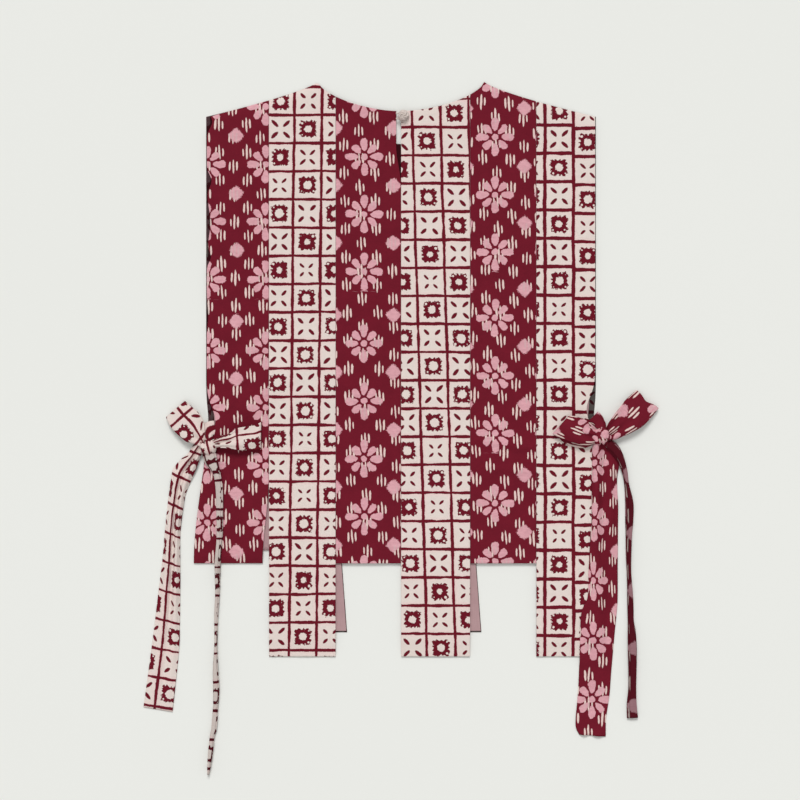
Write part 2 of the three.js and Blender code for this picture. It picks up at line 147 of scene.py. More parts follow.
# Soft ridges of the back: from x, from y, to x, to y, height, half width. The first eight are in its
# solids too.
RIDGES = (
    (-236, -452, -120, -352, 2.2, 15),
    (-232, -484, -132, -566, 1.6, 13),
    (240, -440, 126, -340, 2.2, 15),
    (236, -470, 140, -600, 1.6, 14),
    (150, -40, 138, -230, 2.0, 16),
    (-150, -40, -160, -210, 1.4, 15),
    (-40, -170, -52, -420, 1.5, 20),
    (60, -200, 44, -470, 1.3, 20),
    (100, -462, 184, -474, 2.4, 5),
    (112, -497, 182, -503, 1.9, 5),
    (-186, -196, -200, -410, 1.4, 11),
    (152, -100, 176, -300, 1.6, 10),
    (-228, -440, -190, -330, 1.3, 7),
    (-232, -478, -222, -612, 1.6, 7),
    (-206, -484, -190, -612, 1.2, 8),
    (-226, -462, -150, -460, 1.2, 7),
    (228, -436, 196, -330, 1.3, 8),
    (228, -470, 216, -720, 1.4, 8),
    (232, -452, 160, -440, 1.2, 8),
    (-128, -560, -122, -735, 0.9, 12),
    (42, -580, 50, -735, 0.9, 13),
    (-20, -520, -30, -618, 0.7, 11),
    (128, -530, 118, -616, 0.7, 11),
    (200, -90, 190, -250, 0.8, 12),
    (-208, -70, -200, -180, 0.8, 10),
    (10, -60, 16, -190, 0.7, 9),
)


def ridge_height(x, y):
    total = np.zeros(np.broadcast(x, y).shape)
    for ax, ay, bx, by, height, reach in RIDGES:
        dx, dy = bx - ax, by - ay
        t = np.clip(((x - ax) * dx + (y - ay) * dy) / (dx * dx + dy * dy), 0, 1)
        away = np.hypot(x - ax - t * dx, y - ay - t * dy)
        total += height * np.sin(np.pi * mix(0.15, 1, 1 - t) * 0.9) * bell(away, reach)
    return total


def front_under(strip, x, y):
    """1 where the front lies under the back, falling to 0 past the front's hem and its left edge."""
    front_hem = hem_y(FRONT, strip)
    on_tabs = strip in (2, 4)
    past_hem = 0 if on_tabs else smooth((front_hem - 6 - y) / (front_hem - 6 - hem_y(BACK, strip)))
    front_left = -HALF_WIDTH + FRONT_LEAN * np.maximum(0, SLIT_TOP - y)
    return 1 - np.maximum(past_hem, smooth((front_left - 14 - x) / 12))


def lining_top(strip, x, y):
    return 0.3 + (2 * LAYER - 0.3) * front_under(strip, x, y) + ridge_height(x, y) + 1


def cloth_top(strip, x, y):
    """The back's upper face: over its lining, and down to the front at the shoulders."""
    flat = lining_top(strip, x, y) + LAYER
    rolls = smooth((np.abs(x) - NECK_HALF + 14) / 14)
    turned = 1 - np.clip((top_y(BACK, x) - y) / 14, 0, 1)
    return mix(flat, LAYER + 1, rolls * turned**2)


# --- Mesh making ----------------------------------------------------------------------------------
def spaced(length, step):
    """Distances along a cloth, close together at its two edges so that they can turn over."""
    edge = np.array([0, 0.12, 0.45, 1.2, 2.4])
    middle = np.linspace(4, length - 4, max(3, round((length - 8) / step)))
    return np.concatenate([edge, middle, length - edge[::-1]])


def edge_share(distances):
    """The share of its thickness that a cloth has at distances along it: it thins round at both ends."""
    length = distances[-1]
    inside = np.minimum(distances, length - distances)
    return np.sqrt(np.clip(1 - (1 - np.minimum(inside, 0.45) / 0.45) ** 2, 0.02, 1))


def put(points):
    return (np.asarray(points) + ORIGIN) * MM


def new_piece(name, points, faces, cut, materials, cad_nodes, sides=None):
    """Makes the mesh object, with its Cut map and materials, and hangs it on the frame.

    sides gives each face's place in the list of materials. Without it every face has the first.
    """
    mesh = bpy.data.meshes.new(name)
    mesh.from_pydata(put(points).tolist(), [], faces)
    layer = mesh.uv_layers.new(name="Cut")
    corners = np.empty(len(mesh.loops), dtype=np.int64)
    mesh.loops.foreach_get("vertex_index", corners)
    layer.data.foreach_set("uv", (np.asarray(cut)[corners] * MM).astype(np.float32).ravel())
    if sides is not None:
        mesh.polygons.foreach_set("material_index", sides)
    mesh.polygons.foreach_set("use_smooth", np.ones(len(faces), dtype=bool))
    for material in materials:
        mesh.materials.append(material)
    mesh.validate()
    mesh.update()
    piece = bpy.data.objects.new(name, mesh)
    bpy.context.scene.collection.objects.link(piece)
    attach(piece, "root")
    if cad_nodes:
        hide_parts(*cad_nodes)
    return piece


def shell(upper, lower, cut, kept=None):
    """Closed surface between two grids of points; kept says which cells are cloth.

    Returns its points, faces, cut, and the side of each face: 1 underneath and 0 elsewhere.
    """
    rows, columns = upper.shape[:2]
    kept = np.ones((rows - 1, columns - 1), dtype=bool) if kept is None else kept
    count = rows * columns
    index = np.arange(count).reshape(rows, columns)
    a, b = index[:-1, :-1][kept], index[:-1, 1:][kept]
    c, d = index[1:, 1:][kept], index[1:, :-1][kept]
    top = np.stack([a, b, c, d], axis=1)
    under = np.stack([a, d, c, b], axis=1) + count
    padded = np.pad(kept, 1)
    borders = (((-1, 0), (a, b)), ((0, 1), (b, c)), ((1, 0), (c, d)), ((0, -1), (d, a)))
    walls = []
    for (shift_r, shift_c), (start, end) in borders:
        neighbour = padded[1 + shift_r : rows + shift_r, 1 + shift_c : columns + shift_c][kept]
        s, e = start[~neighbour], end[~neighbour]
        walls.append(np.stack([e, s, s + count, e + count], axis=1))
    walls = np.concatenate(walls)
    faces = np.concatenate([top, under, walls])
    sides = np.repeat([0, 1, 0], [len(top), len(under), len(walls)]).astype(np.int32)
    points = np.concatenate([upper.reshape(-1, 3), lower.reshape(-1, 3)])
    uv = np.concatenate([cut.reshape(-1, 2), cut.reshape(-1, 2)])
    used = np.unique(faces)
    renumber = np.zeros(len(points), dtype=np.int64)
    renumber[used] = np.arange(len(used))
    return points[used], renumber[faces].tolist(), uv[used], sides


def rings_joined(rings, around):
    """Faces of a tube whose points run ring by ring, closed at both ends."""
    index = np.arange(rings * around).reshape(rings, around)
    after = np.roll(index, -1, axis=1)
    faces = np.stack([index[:-1], after[:-1], after[1:], index[1:]], axis=-1).reshape(-1, 4).tolist()
    return [*faces, index[0, ::-1].tolist(), index[-1].tolist()]


# --- Shader expressions ---------------------------------------------------------------------------
THREAD = 0.42
CLOTH_SPECULAR = 0.12
# Relief of the weave and its fine creases, in metres
PRINT_RELIEF = 0.0006
LINING_RELIEF = 0.0005
THREAD_RELIEF = 0.0003
FLOOR_RELIEF = 0.0001
# Linear colours of the painted shade between the threads
MAROON_SHADE = (0.03, 0.004, 0.008)
CREAM_SHADE = (0.2, 0.15, 0.12)
ROSE_SHADE = (0.2, 0.1, 0.11)


class Wire:
    """A shader socket that carries a number. Arithmetic on it adds Math nodes."""

    def __init__(self, paint, socket):
        self.paint = paint
        self.socket = socket

    def math(self, operation, *values, clamp=False):
        settings = {"operation": operation, "use_clamp": clamp}
        node = self.paint.add("ShaderNodeMath", settings, dict(enumerate(values)))
        return Wire(self.paint, node.outputs[0])

    def __add__(self, other):
        return self.math("ADD", self, other)

    __radd__ = __add__

    def __sub__(self, other):
        return self.math("SUBTRACT", self, other)

    def __rsub__(self, other):
        return self.math("SUBTRACT", other, self)

    def __mul__(self, other):
        return self.math("MULTIPLY", self, other)

    __rmul__ = __mul__

    def __truediv__(self, other):
        return self.math("DIVIDE", self, other)

    def __rtruediv__(self, other):
        return self.math("DIVIDE", other, self)

    def __pow__(self, other):
        return self.math("POWER", self, other)

    def __abs__(self):
        return self.math("ABSOLUTE", self)

    def __mod__(self, other):
        return self.math("FLOORED_MODULO", self, other)

    def rounded(self):
        return self.math("ROUND", self)

    def floored(self):
        return self.math("FLOOR", self)

    def root(self):
        return self.math("SQRT", self)

    def larger(self, other):
        return self.math("MAXIMUM", self, other)

    def smaller(self, other):
        return self.math("MINIMUM", self, other)

    def sine(self):
        return self.math("SINE", self)

    def sign(self):
        return self.math("SIGN", self)

    def clamped(self):
        return self.math("ADD", self, 0.0, clamp=True)

    def below(self, edge, blur):
        """1 where this is less than edge, 0 where it is more, with a soft change blur wide."""
        return self.math("MULTIPLY_ADD", edge - self, 1 / blur, 0.5, clamp=True)


class Paint:
    """Adds the nodes of one material."""

    def __init__(self, name):
        self.material = bpy.data.materials.new(name)
        self.material.use_nodes = True
        self.nodes = self.material.node_tree.nodes
        self.links = self.material.node_tree.links
        self.shader = self.nodes["Principled BSDF"]
        cut = self.add("ShaderNodeUVMap", {"uv_map": "Cut"}, {})
        split = self.add("ShaderNodeSeparateXYZ", {}, {0: cut.outputs[0]})
        self.u = Wire(self, split.outputs[0]) * (1 / MM)
        self.v = Wire(self, split.outputs[1]) * (1 / MM)

    def add(self, kind, settings, inputs):
        node = self.nodes.new(kind)
        for key, value in settings.items():
            setattr(node, key, value)
        for key, value in inputs.items():
            self.join(value, node.inputs[key])
        return node

    def join(self, value, socket):
        if isinstance(value, Wire):
            value = value.socket
        if isinstance(value, bpy.types.NodeSocket):
            self.links.new(value, socket)
        else:
            socket.default_value = value

    def vector(self, x, y, z=0.0):
        return self.add("ShaderNodeCombineXYZ", {}, {0: x, 1: y, 2: z}).outputs[0]

    def noise(self, x, y, size, detail=1.0):
        """Two unlike noises from -0.5 to 0.5, with lumps of that size."""
        place = self.vector(x * (1 / size), y * (1 / size))
        inputs = {"Vector": place, "Scale": 1.0, "Detail": detail, "Roughness": 0.5}
        node = self.add("ShaderNodeTexNoise", {}, inputs)
        split = self.add("ShaderNodeSeparateColor", {}, {0: node.outputs["Color"]})
        return Wire(self, split.outputs[0]) - 0.5, Wire(self, split.outputs[1]) - 0.5

    def chance(self, x, y, z):
        """Three random numbers from 0 to 1 for each whole x, y, z."""
        place = self.vector(x, y, z)
        node = self.add("ShaderNodeTexWhiteNoise", {"noise_dimensions": "3D"}, {"Vector": place})
        split = self.add("ShaderNodeSeparateColor", {}, {0: node.outputs["Color"]})
        return [Wire(self, split.outputs[i]) for i in range(3)]

    def blend(self, low, high, share):
        node = self.add("ShaderNodeMix", {"data_type": "RGBA"}, {0: share, 6: low, 7: high})
        return node.outputs[2]

    def finish(self, colour, rough, height, depth):
        """Feeds the shader: height is a Wire from 0 to 1, and depth the relief in metres it stands for."""
        self.join(colour, self.shader.inputs["Base Color"])
        self.join(rough, self.shader.inputs["Roughness"])
        self.shader.inputs["Specular IOR Level"].default_value = CLOTH_SPECULAR
        bump = self.add("ShaderNodeBump", {}, {"Strength": 1.0, "Distance": depth, "Height": height})
        self.join(bump.outputs[0], self.shader.inputs["Normal"])
        return self.material


def rgba(colour):
    return (*colour, 1.0)


def srgb(red, green, blue):
    """A colour given as it looks on screen, from 0 to 255, as linear light."""
    parts = (c / 255 for c in (red, green, blue))
    return tuple(c / 12.92 if c <= 0.04045 else ((c + 0.055) / 1.055) ** 2.4 for c in parts)


def weave(paint):
    """Plain weave as a height from 0 to 1, with slubs."""
    drift_u, drift_v = paint.noise(paint.u, paint.v, 9)
    across = ((paint.u + drift_v * 0.5) * (2 * math.pi / THREAD)).sine()
    along = ((paint.v + drift_u * 0.5) * (2 * math.pi / THREAD)).sine()
    slub = paint.noise(paint.u, paint.v * 0.15, 0.8)[0] + paint.noise(paint.u * 0.15, paint.v, 0.8)[1]
    return (0.5 + across * along * 0.25 + slub * 0.5).clamped()


def wave_relief(paint, weave_height, creases):
    """Weave with the cloth's fine creases, 0 to 1."""
    fine = paint.noise(paint.u, paint.v, 14, detail=2.0)[0]
    return weave_height * 0.35 + fine * creases + 0.3


FLOWER_CELL = (75.4, 74.0)
# A petal: its middle's distance from the flower's, half its length and half its width, and how much it
# widens outwards from a start
Petal = namedtuple("Petal", "middle half wide start flare")
STRAIGHT_PETAL = Petal(16.0, 8.3, 3.7, 10, 0.15)
SLANT_PETAL = Petal(13.7, 7.2, 3.4, 9, 0.17)
LEAST_PETAL = 1.5
FLOWER_EYE = 4.1
DIAMOND = 9.5
STROKE_GAP = 4.6
STROKE_HALF = 9.2
STROKE_SHORTER = 3.6
STROKE_WIDE = 1.15


def petal(form, along, aside, grown):
    """Below 1 inside a petal, by places along it and across it."""
    wide = (grown + form.wide + (along - form.start) * form.flare).larger(LEAST_PETAL)
    return abs((along - form.middle) / form.half) ** 2.4 + (aside / wide) ** 2


def maroon_print(name, colours, dash_at, dash_step, flower_at, lean=0.0, tilt=0.0, jumps=()):
    """Dyed cloth with rows of three short strokes over large eight-petalled flowers.

    lean slants the columns of strokes and tilt their rows. Each jump is a height and a step: the flowers
    below that height stand lower by the step, and the cloth just under it is bare of them.
    """
    paint = Paint(name)
    wobble_u, wobble_v = paint.noise(paint.u, paint.v, 7, detail=2.0)
    ragged = paint.noise(paint.u, paint.v, 1.6, detail=1.0)[0]
    slow_u, slow_v = paint.noise(paint.u, paint.v, 60)
    u = paint.u + wobble_u * 3.3 + slow_u * 3
    v = paint.v + wobble_v * 3.3 + slow_v * 3
    # Flowers, one at each corner of a cell, and a diamond in its middle
    moved = v
    bare = v * 0
    for place, step in jumps:
        moved = moved + v.below(place, 2) * step
        bare = bare + v.below(place, 1) * (1 - v.below(place - step, 1))
    lu = (u - flower_at[0]) - ((u - flower_at[0]) / FLOWER_CELL[0]).rounded() * FLOWER_CELL[0]
    lv = (moved - flower_at[1]) - ((moved - flower_at[1]) / FLOWER_CELL[1]).rounded() * FLOWER_CELL[1]
    far_u, far_v = abs(lu), abs(lv)
    a = far_u.larger(far_v)
    b = far_u.smaller(far_v)
    out, aside = (a + b) * math.sqrt(0.5), (a - b) * math.sqrt(0.5)
    grown = paint.noise(u, v, 11)[1] * 2.2
    eight = petal(STRAIGHT_PETAL, a, b, grown).smaller(petal(SLANT_PETAL, out, aside, grown))
    eye = (a * a + b * b) * (1 / FLOWER_EYE**2)
    du, dv = FLOWER_CELL[0] / 2 - far_u, FLOWER_CELL[1] / 2 - far_v
    diamond = abs(du / DIAMOND) ** 1.3 + abs(dv / DIAMOND) ** 1.3
    nearest = eight.smaller(eye.smaller(diamond))
    petals = (nearest + ragged * 0.7).below(1.0, 0.22) * (1 - bare)
    # Rows of three strokes
    pu = (paint.u - dash_at[0]) + (paint.v - dash_at[1]) * lean + wobble_u * 1.4
    pv = (paint.v - dash_at[1]) + (paint.u - dash_at[0]) * tilt + wobble_v * 1.2
    column = (pu / dash_step[0]).rounded()
    odd = abs(column) % 2.0
    raised = pv - odd * dash_step[1]
    row = (raised / (2 * dash_step[1])).rounded()
    cu = pu - column * dash_step[0]
    cv = raised - row * (2 * dash_step[1])
    stroke = (cu / STROKE_GAP).rounded().larger(-1.0)
    stroke = stroke.smaller(1.0)
    luck = paint.chance(column, row, stroke)
    side = abs(stroke)
    cv = cv + (luck[0] - 0.5) * 2.2
    half = STROKE_HALF - side * STROKE_SHORTER + (luck[1] - 0.5) * 2.4
    su = cu - stroke * STROKE_GAP + cv * (luck[2] - 0.5) * 0.14
    fill = (su / (STROKE_WIDE + (luck[1] - 0.5) * 0.5)) ** 2 + abs(cv / half) ** 3.2
    strokes = (fill + ragged * 0.7).below(1.0, 0.5)
    # Colours, uneven as dye takes
    patchy, cloudy = paint.noise(paint.u, paint.v, 26, detail=3.0)
    streak = paint.noise(paint.u * 0.35, paint.v, 2.2, detail=2.0)[1]
    light = (patchy + streak * 0.5 + 0.62).clamped()
    ground = paint.blend(rgba(colours.maroon_dark), rgba(colours.maroon), light)
    fresh = (cloudy * 1.2 + streak + 0.6).clamped()
    pink = paint.blend(rgba(colours.petal_deep), rgba(colours.petal), fresh)
    body = paint.blend(ground, pink, petals * (0.93 + streak * 0.2))
    over = paint.blend(rgba(colours.stroke), rgba(colours.stroke_on_pink), petals)
    body = paint.blend(body, over, strokes * (0.92 - petals * 0.4 + streak * 0.3))
    woven = weave(paint)
    # Painted shade between the threads
    body = paint.blend(body, rgba(MAROON_SHADE), ((0.56 - woven) * 0.3).clamped())
    rough = 0.82 - petals * 0.05 + woven * 0.06
    return paint.finish(body, rough, wave_relief(paint, woven, 0.5), PRINT_RELIEF)


LEAF_AT = 9.3
LEAF_HALF = 4.3
LEAF_WIDE = 2.0
LOBE_AT = 5.8
LOBE = 5.0
ROSETTE_RIM = 10.1
ROSETTE_HOLE = 5.1
ROSETTE_TEETH = 13
DOT_AT = 7.6


def cream_print(name, colours, corner, cell=(35.3, 36.2), lean=0.0, thick=1.9, phase=0.0, drop=0.0):
    """Pale cloth ruled in wobbly squares, a cross and a rosette in turn.

    With phase 1 the rosettes stand where the crosses do with 0, and every column but the first is lowered
    by drop.
    """
    paint = Paint(name)
    wobble_u, wobble_v = paint.noise(paint.u, paint.v, 8, detail=2.0)
    slow_u, slow_v = paint.noise(paint.u, paint.v, 55)
    ragged = paint.noise(paint.u, paint.v, 1.5, detail=1.0)[0]
    u = (paint.u - corner[0]) + (paint.v - corner[1]) * lean + wobble_u * 1.5 + slow_u * 2.4
    v = (paint.v - corner[1]) + wobble_v * 1.5 + slow_v * 2.4
    column = (u / cell[0]).floored()
    if drop:
        v = v + (1 - column.below(0.5, 0.2)) * drop
    row = (v / cell[1]).floored()
    lu = u - (column + 0.5) * cell[0]
    lv = v - (row + 0.5) * cell[1]
    luck = paint.chance(column, row, 3.0)
    other = paint.chance(row, column, 7.0)
    far_u, far_v = abs(lu), abs(lv)
    edge_u, edge_v = cell[0] / 2 - far_u, cell[1] / 2 - far_v
    near_edge = edge_u.smaller(edge_v)
    width = paint.noise(paint.u, paint.v, 17, detail=1.0)[1] * 2.2 + thick
    rules = (near_edge + ragged * 1.1).below(width, 0.6)
    # Cross: four leaves on the diagonals
    grown = (luck[0] - 0.5) * 0.36 + 1
    out = (far_u + far_v) * math.sqrt(0.5) / grown
    aside = (far_u - far_v) * math.sqrt(0.5) / grown
    cross = ((out - LEAF_AT) / (LEAF_HALF + other[1])) ** 2 + (aside / LEAF_WIDE) ** 2
    # Rosette: four lobes about a ring with a hole, its rim notched, pricked with a few dots
    skewed_u = abs(lu + (other[1] - 0.5) * 1.2)
    skewed_v = abs(lv + (other[2] - 0.5) * 1.2)
    notches_u, notches_v = paint.noise(paint.u, paint.v, 1.7, detail=1.0)
    lobes = ((skewed_u - LOBE_AT) ** 2 + (skewed_v - LOBE_AT) ** 2).root() - LOBE
    reach = (lu * lu + lv * lv).root()
    hole = ROSETTE_HOLE + (luck[1] - 0.6) * 2.6
    teeth = (lu.math("ARCTAN2", lv, lu) * ROSETTE_TEETH + luck[2] * 6).sine()
    outside = lobes.smaller(reach - ROSETTE_RIM) + notches_u * 5.0 + teeth * 0.75
    inside = hole - reach + notches_v * 3.8
    rosette = outside.larger(inside) * 0.5 + 1
    dot_u, dot_v = far_u - DOT_AT, far_v - DOT_AT
    pricked = lu.sign() * (other[0] - 0.5) + lv.sign() * (luck[2] - 0.5)
    dots = (dot_u * dot_u + dot_v * dot_v + pricked * 3).below(0.3, 0.6)
    parity = abs(column + row + phase) % 2.0
    is_cross = parity.below(0.5, 0.1)
    figure = rosette.below(1.0, 0.3) * (1 - is_cross) * (1 - dots)
    figure = figure + (cross + ragged * 0.7).below(1.0, 0.4) * is_cross
    ink = figure.larger(rules).clamped()
    # Colours: the dye has bled a little round each mark
    patchy, cloudy = paint.noise(paint.u, paint.v, 24, detail=3.0)
    streak = paint.noise(paint.u, paint.v * 0.4, 2.0, detail=2.0)[0]
    stain = (near_edge.below(3.4, 4.5) * 0.75 + figure * 0.4 + cloudy * 0.7).clamped()
    ground = paint.blend(rgba(colours.cream), rgba(colours.cream_stained), stain)
    ground = paint.blend(ground, rgba(colours.cream_grey), (patchy * 1.1 + streak * 0.5).clamped())
    light = (cloudy + streak * 0.6 + 0.62).clamped()
    dye = paint.blend(rgba(colours.maroon_dark), rgba(colours.maroon_line), light)
    body = paint.blend(ground, dye, (ink * (1.02 + streak * 0.1)).clamped())
    woven = weave(paint)
    # Painted shade between the threads
    body = paint.blend(body, rgba(CREAM_SHADE), ((0.55 - woven) * (1 - ink) * 0.2).clamped())
    rough = 0.8 + woven * 0.08
    return paint.finish(body, rough, wave_relief(paint, woven, 0.5), PRINT_RELIEF)


def rose_cloth(name, colours):
    """Plain thin lining, a little uneven in its dye."""
    paint = Paint(name)
    patchy, cloudy = paint.noise(paint.u, paint.v, 30, detail=3.0)
    slub = paint.noise(paint.u, paint.v * 0.08, 1.2, detail=2.0)[0]
    woven = weave(paint)
    body = paint.blend(rgba(colours.rose_deep), rgba(colours.rose), (patchy + slub * 0.7 + 0.6).clamped())
    # Painted shade between the threads
    body = paint.blend(body, rgba(ROSE_SHADE), ((0.58 - woven) * 0.25).clamped())
    return paint.finish(body, 0.78 + cloudy * 0.1, wave_relief(paint, woven, 0.45), LINING_RELIEF)


def stage_floor(name, colour):
    paint = Paint(name)
    patchy = paint.noise(paint.u, paint.v, 400, detail=2.0)[0]
    body = paint.blend(rgba(colour), rgba(tuple(c * 0.97 for c in colour)), (patchy + 0.5).clamped())
    grain = paint.noise(paint.u, paint.v, 2.0, detail=2.0)[0]
    return paint.finish(body, 0.9, grain * 0.5 + 0.5, FLOOR_RELIEF)


DYES = "maroon maroon_dark maroon_line petal petal_deep stroke stroke_on_pink cream cream_stained cream_grey"
# The dyes darkened as painted shade on the cloth's wrong side
ReverseColours = namedtuple("ReverseColours", DYES)

# Where each strip's print was when it was cut
MAROON_PLACES = {
    0: {
        "dash_at": (-196.4, -199.0),
        "dash_step": (17.6, 18.0),
        "flower_at": (-174.0, -180.4),
        "lean": 0.018,
        "jumps": ((-280, 17.5),),
    },
    2: {
        "dash_at": (-72.2, -153.9),
        "dash_step": (19.7, 18.0),
        "flower_at": (-47.4, -170.7),
        "lean": 0.0214,
        "jumps": ((-270, 18.6),),
    },
    4: {
        "dash_at": (107.6, -206.2),
        "dash_step": (17.85, 18.0),
        "flower_at": (121.0, -145.7),
        "lean": 0.025,
        "tilt": 0.079,
        "jumps": ((-245.5, 10.5), (-477.5, 16.5)),
    },
}
CREAM_PLACES = {
    1: {"corner": (-137.1, -43.2), "lean": -0.0103, "cell": (35.3, 36.25)},
    3: {"corner": (14.6, -58.8), "lean": 0.028, "cell": (36.4, 36.2)},
    5: {"corner": (185.1, -55.8), "cell": (36.6, 36.5), "thick": 2.3, "phase": 1.0, "drop": 4.4},
}


def shaded(colours, share=0.2, pale_share=0.1):
    """The same dyes darkened as painted shade on the cloth's wrong side, the pale ones darkened most."""
    shade_darkened = []
    for key in ReverseColours._fields:
        part = share if key.startswith("maroon") else pale_share
        shade_darkened.append(tuple(part * channel for channel in getattr(colours, key)))
    return ReverseColours(*shade_darkened)


def print_for(panel, strip, reverse=False):
    """The print of one strip, placed on it as it was cut."""
    colours = bpy.context.scene.blouse_colours
    name = f"{panel['name']}_print_{strip + 1}"
    # The front's wrong side takes its print darkened as painted shade
    if reverse:
        name += "_reverse"
        colours = shaded(colours)
    if strip % 2:
        return cream_print(name, colours, **CREAM_PLACES[strip])
    return maroon_print(name, colours, **MAROON_PLACES[strip])


# --- Panels ---------------------------------------------------------------------------------------
RIPPLE = 0.35
RNG = np.random.default_rng(7)
WAVES = [(RNG.uniform(0.03, 0.12), RNG.uniform(0, math.tau), RNG.uniform(0, math.tau)) for _ in range(14)]


def ripples(x, y):
    """Small creases all over, about 1 high at most."""
    total = 0
    for pace, heading, phase in WAVES:
        ahead = x * math.cos(heading) + y * math.sin(heading)
        total = total + np.sin(pace * ahead + phase) * (0.06 / pace) ** 0.5
    return total / 7


# Depth below the shoulder down to which rows follow the top edge
ROWS_BEND = 165


def row_y(base, x, panel):
    """y of a row named by its height on the flat cut: near the top rows follow the top edge."""
    bent = -ROWS_BEND + (base + ROWS_BEND) * (ROWS_BEND + top_y(panel, x)) / ROWS_BEND
    return np.where(base < -ROWS_BEND, base, bent)


HEM = 8
HEM_RISE = 0.28


def hemmed(inside):
    """How far a turned edge stands up, by distance in from it."""
    return HEM_RISE * (smooth(inside / 1.5) - smooth((inside - HEM) / 2))


def strip_surface(panel, strip, step):
    """A strip's plan places and cut on a grid, and its share of thickness and its relief at each."""
    settings = bpy.context.scene.blouse_cloth
    left, right = SEAMS[strip] + SEAM_GAP / 2, SEAMS[strip + 1] - SEAM_GAP / 2
    across = spaced(right - left, step)
    along = spaced(-hem_y(panel, strip), step)
    flat_x, base = np.meshgrid(left + across, hem_y(panel, strip) + along)
    y = row_y(base, flat_x, panel)
    share = (flat_x - left) / (right - left)
    x = flat_x + drift(panel, strip, share, y)
    thin = np.minimum(edge_share(along)[:, None], edge_share(across)[None, :])
    from_side = np.minimum(flat_x - left, right - flat_x)
    from_end = np.minimum(y - hem_y(panel, strip), top_y(panel, flat_x) - y)
    ditch = settings.seam_depth / MM * bell(from_side, 2.6) * smooth((y - SLIT_TOP + 4) / 8)
    pucker = 0.12 * np.sin(y * 0.9 + 3 * np.sin(y * 0.07)) * bell(from_side, 6) * smooth((y - SLIT_TOP) / 8)
    turned_in = hemmed(from_end)
    free = hemmed(from_side) * smooth((SLIT_TOP - y) / 6)
    relief = turned_in + np.maximum(free, 0) - ditch + pucker
    cut_x = x if panel is BACK else flat_x
    return x, y, np.stack([cut_x, y], axis=-1), thin, relief


def strip_piece(panel, strip, material):
    """One strip; where it is the front's and lies face down, its wrong side is in the print darkened as
    painted shade.
    """
    x, y, cut, thin, relief = strip_surface(panel, strip, 3.4 if panel is BACK else 5)
    top = cloth_top(strip, x, y) + relief if panel is BACK else 1 + relief * 0.3
    middle = top - CLOTH / 2 + (RIPPLE * ripples(x, y) if panel is BACK else 0)
    if panel is FRONT:
        middle = np.maximum(middle - 0.1, CLOTH / 2 + 0.02)
    half = CLOTH / 2 * thin
    upper = np.stack([x, y, middle + half], axis=-1)
    lower = np.stack([x, y, middle - half], axis=-1)
    points, faces, uv, sides = shell(upper, lower, cut)
    node = f"{panel['name']}_strip_{strip + 1}"
    materials = [material]
    if panel is FRONT:
        # The front's upper faces, its wrong side, take the print darkened as painted shade
        materials.insert(0, print_for(panel, strip, reverse=True))
    else:
        sides = None
    piece = new_piece(f"{node}_cloth", points, faces, uv, materials, [node], sides)
    width, length = STRIP_WIDTHS[strip], -hem_y(panel, strip)
    heights = top_y(panel, np.linspace(SEAMS[strip], SEAMS[strip + 1], 41)) - hem_y(panel, strip)
    area = width * float(heights.mean()) * MM * MM
    width * MM
    length * MM
    return piece


# How far the lining stays inside the hems and the open side edges, and the size of its cells
LINING_INSET = 2
LINING_EDGE_INSET = 8
LINING_STEP = 5.5


def lining_piece(panel, material):
    """One cloth behind all six strips, slit below SLIT_TOP at every seam."""
    columns, strips, gaps = [], [], []
    for strip in range(6):
        left = SEAMS[strip] + (LINING_EDGE_INSET if strip == 0 else 1)
        right = SEAMS[strip + 1] - (LINING_EDGE_INSET if strip == 5 else 1)
        places = left + spaced(right - left, LINING_STEP)
        gaps += [False] * (len(places) - 1) + [True]
        columns.append(places)
        strips.append(np.full(len(places), strip))
    columns, strips, gaps = np.concatenate(columns), np.concatenate(strips), np.array(gaps[:-1])
    base = -panel["long"] + LINING_INSET + spaced(panel["long"] - 2 * LINING_INSET, LINING_STEP)
    flat_x, rows = np.meshgrid(columns, base)
    roll = 14 * smooth((np.abs(flat_x) - NECK_HALF + 15) / 4)
    y = row_y(rows, flat_x, panel) - np.where(rows > -ROWS_BEND, (rows + ROWS_BEND) / ROWS_BEND, 0) * roll
    x = np.empty_like(flat_x)
    lower_z = np.empty_like(flat_x)
    for strip in range(6):
        own = strips == strip
        share = (flat_x[:, own] - SEAMS[strip]) / STRIP_WIDTHS[strip]
        x[:, own] = flat_x[:, own] + drift(panel, strip, share, y[:, own])
        if panel is BACK:
            waves = RIPPLE * ripples(x[:, own], y[:, own])
            own_z = cloth_top(strip, x[:, own], y[:, own]) - LAYER - 1 + waves
        else:
            own_z = np.full(y[:, own].shape, LAYER)
        lower_z[:, own] = own_z
    if panel is BACK:
        lower_z = np.maximum(lower_z, 0.05)
    mid_y = (rows[1:, 1:] + rows[:-1, :-1]) / 2
    mid_x = (flat_x[1:, 1:] + flat_x[:-1, :-1]) / 2
    short = np.isin(strips, (0, 2, 4))[:-1][None, :] & ~gaps[None, :]
    past_hem = short & (mid_y < -panel["short"] + LINING_INSET)
    kept = np.where(gaps[None, :], mid_y > SLIT_TOP, True) & ~past_hem
    if panel is BACK:
        kept &= ~((np.abs(mid_x) < 2.2) & (mid_y > NECK_SLIT_END))
    lift = 0.1 if panel is BACK else 0.15 * (ripples(x * 1.7, y * 1.7) + 1)
    lower = np.stack([x, y, lower_z + lift], axis=-1)
    upper = lower + np.array([0, 0, LINING])
    points, faces, uv, _ = shell(upper, lower, np.stack([flat_x, y], axis=-1), kept)
    node = f"{panel['name']}_lining"
    piece = new_piece(f"{node}_cloth", points, faces, uv, [material], [node])
    area = sum(w * (abs(hem_y(panel, s)) - 25) for s, w in enumerate(STRIP_WIDTHS)) * MM * MM
    return piece


# --- Ties -----------------------------------------------------------------------------------------
TIE_WIDTH = 38
DROP = 16


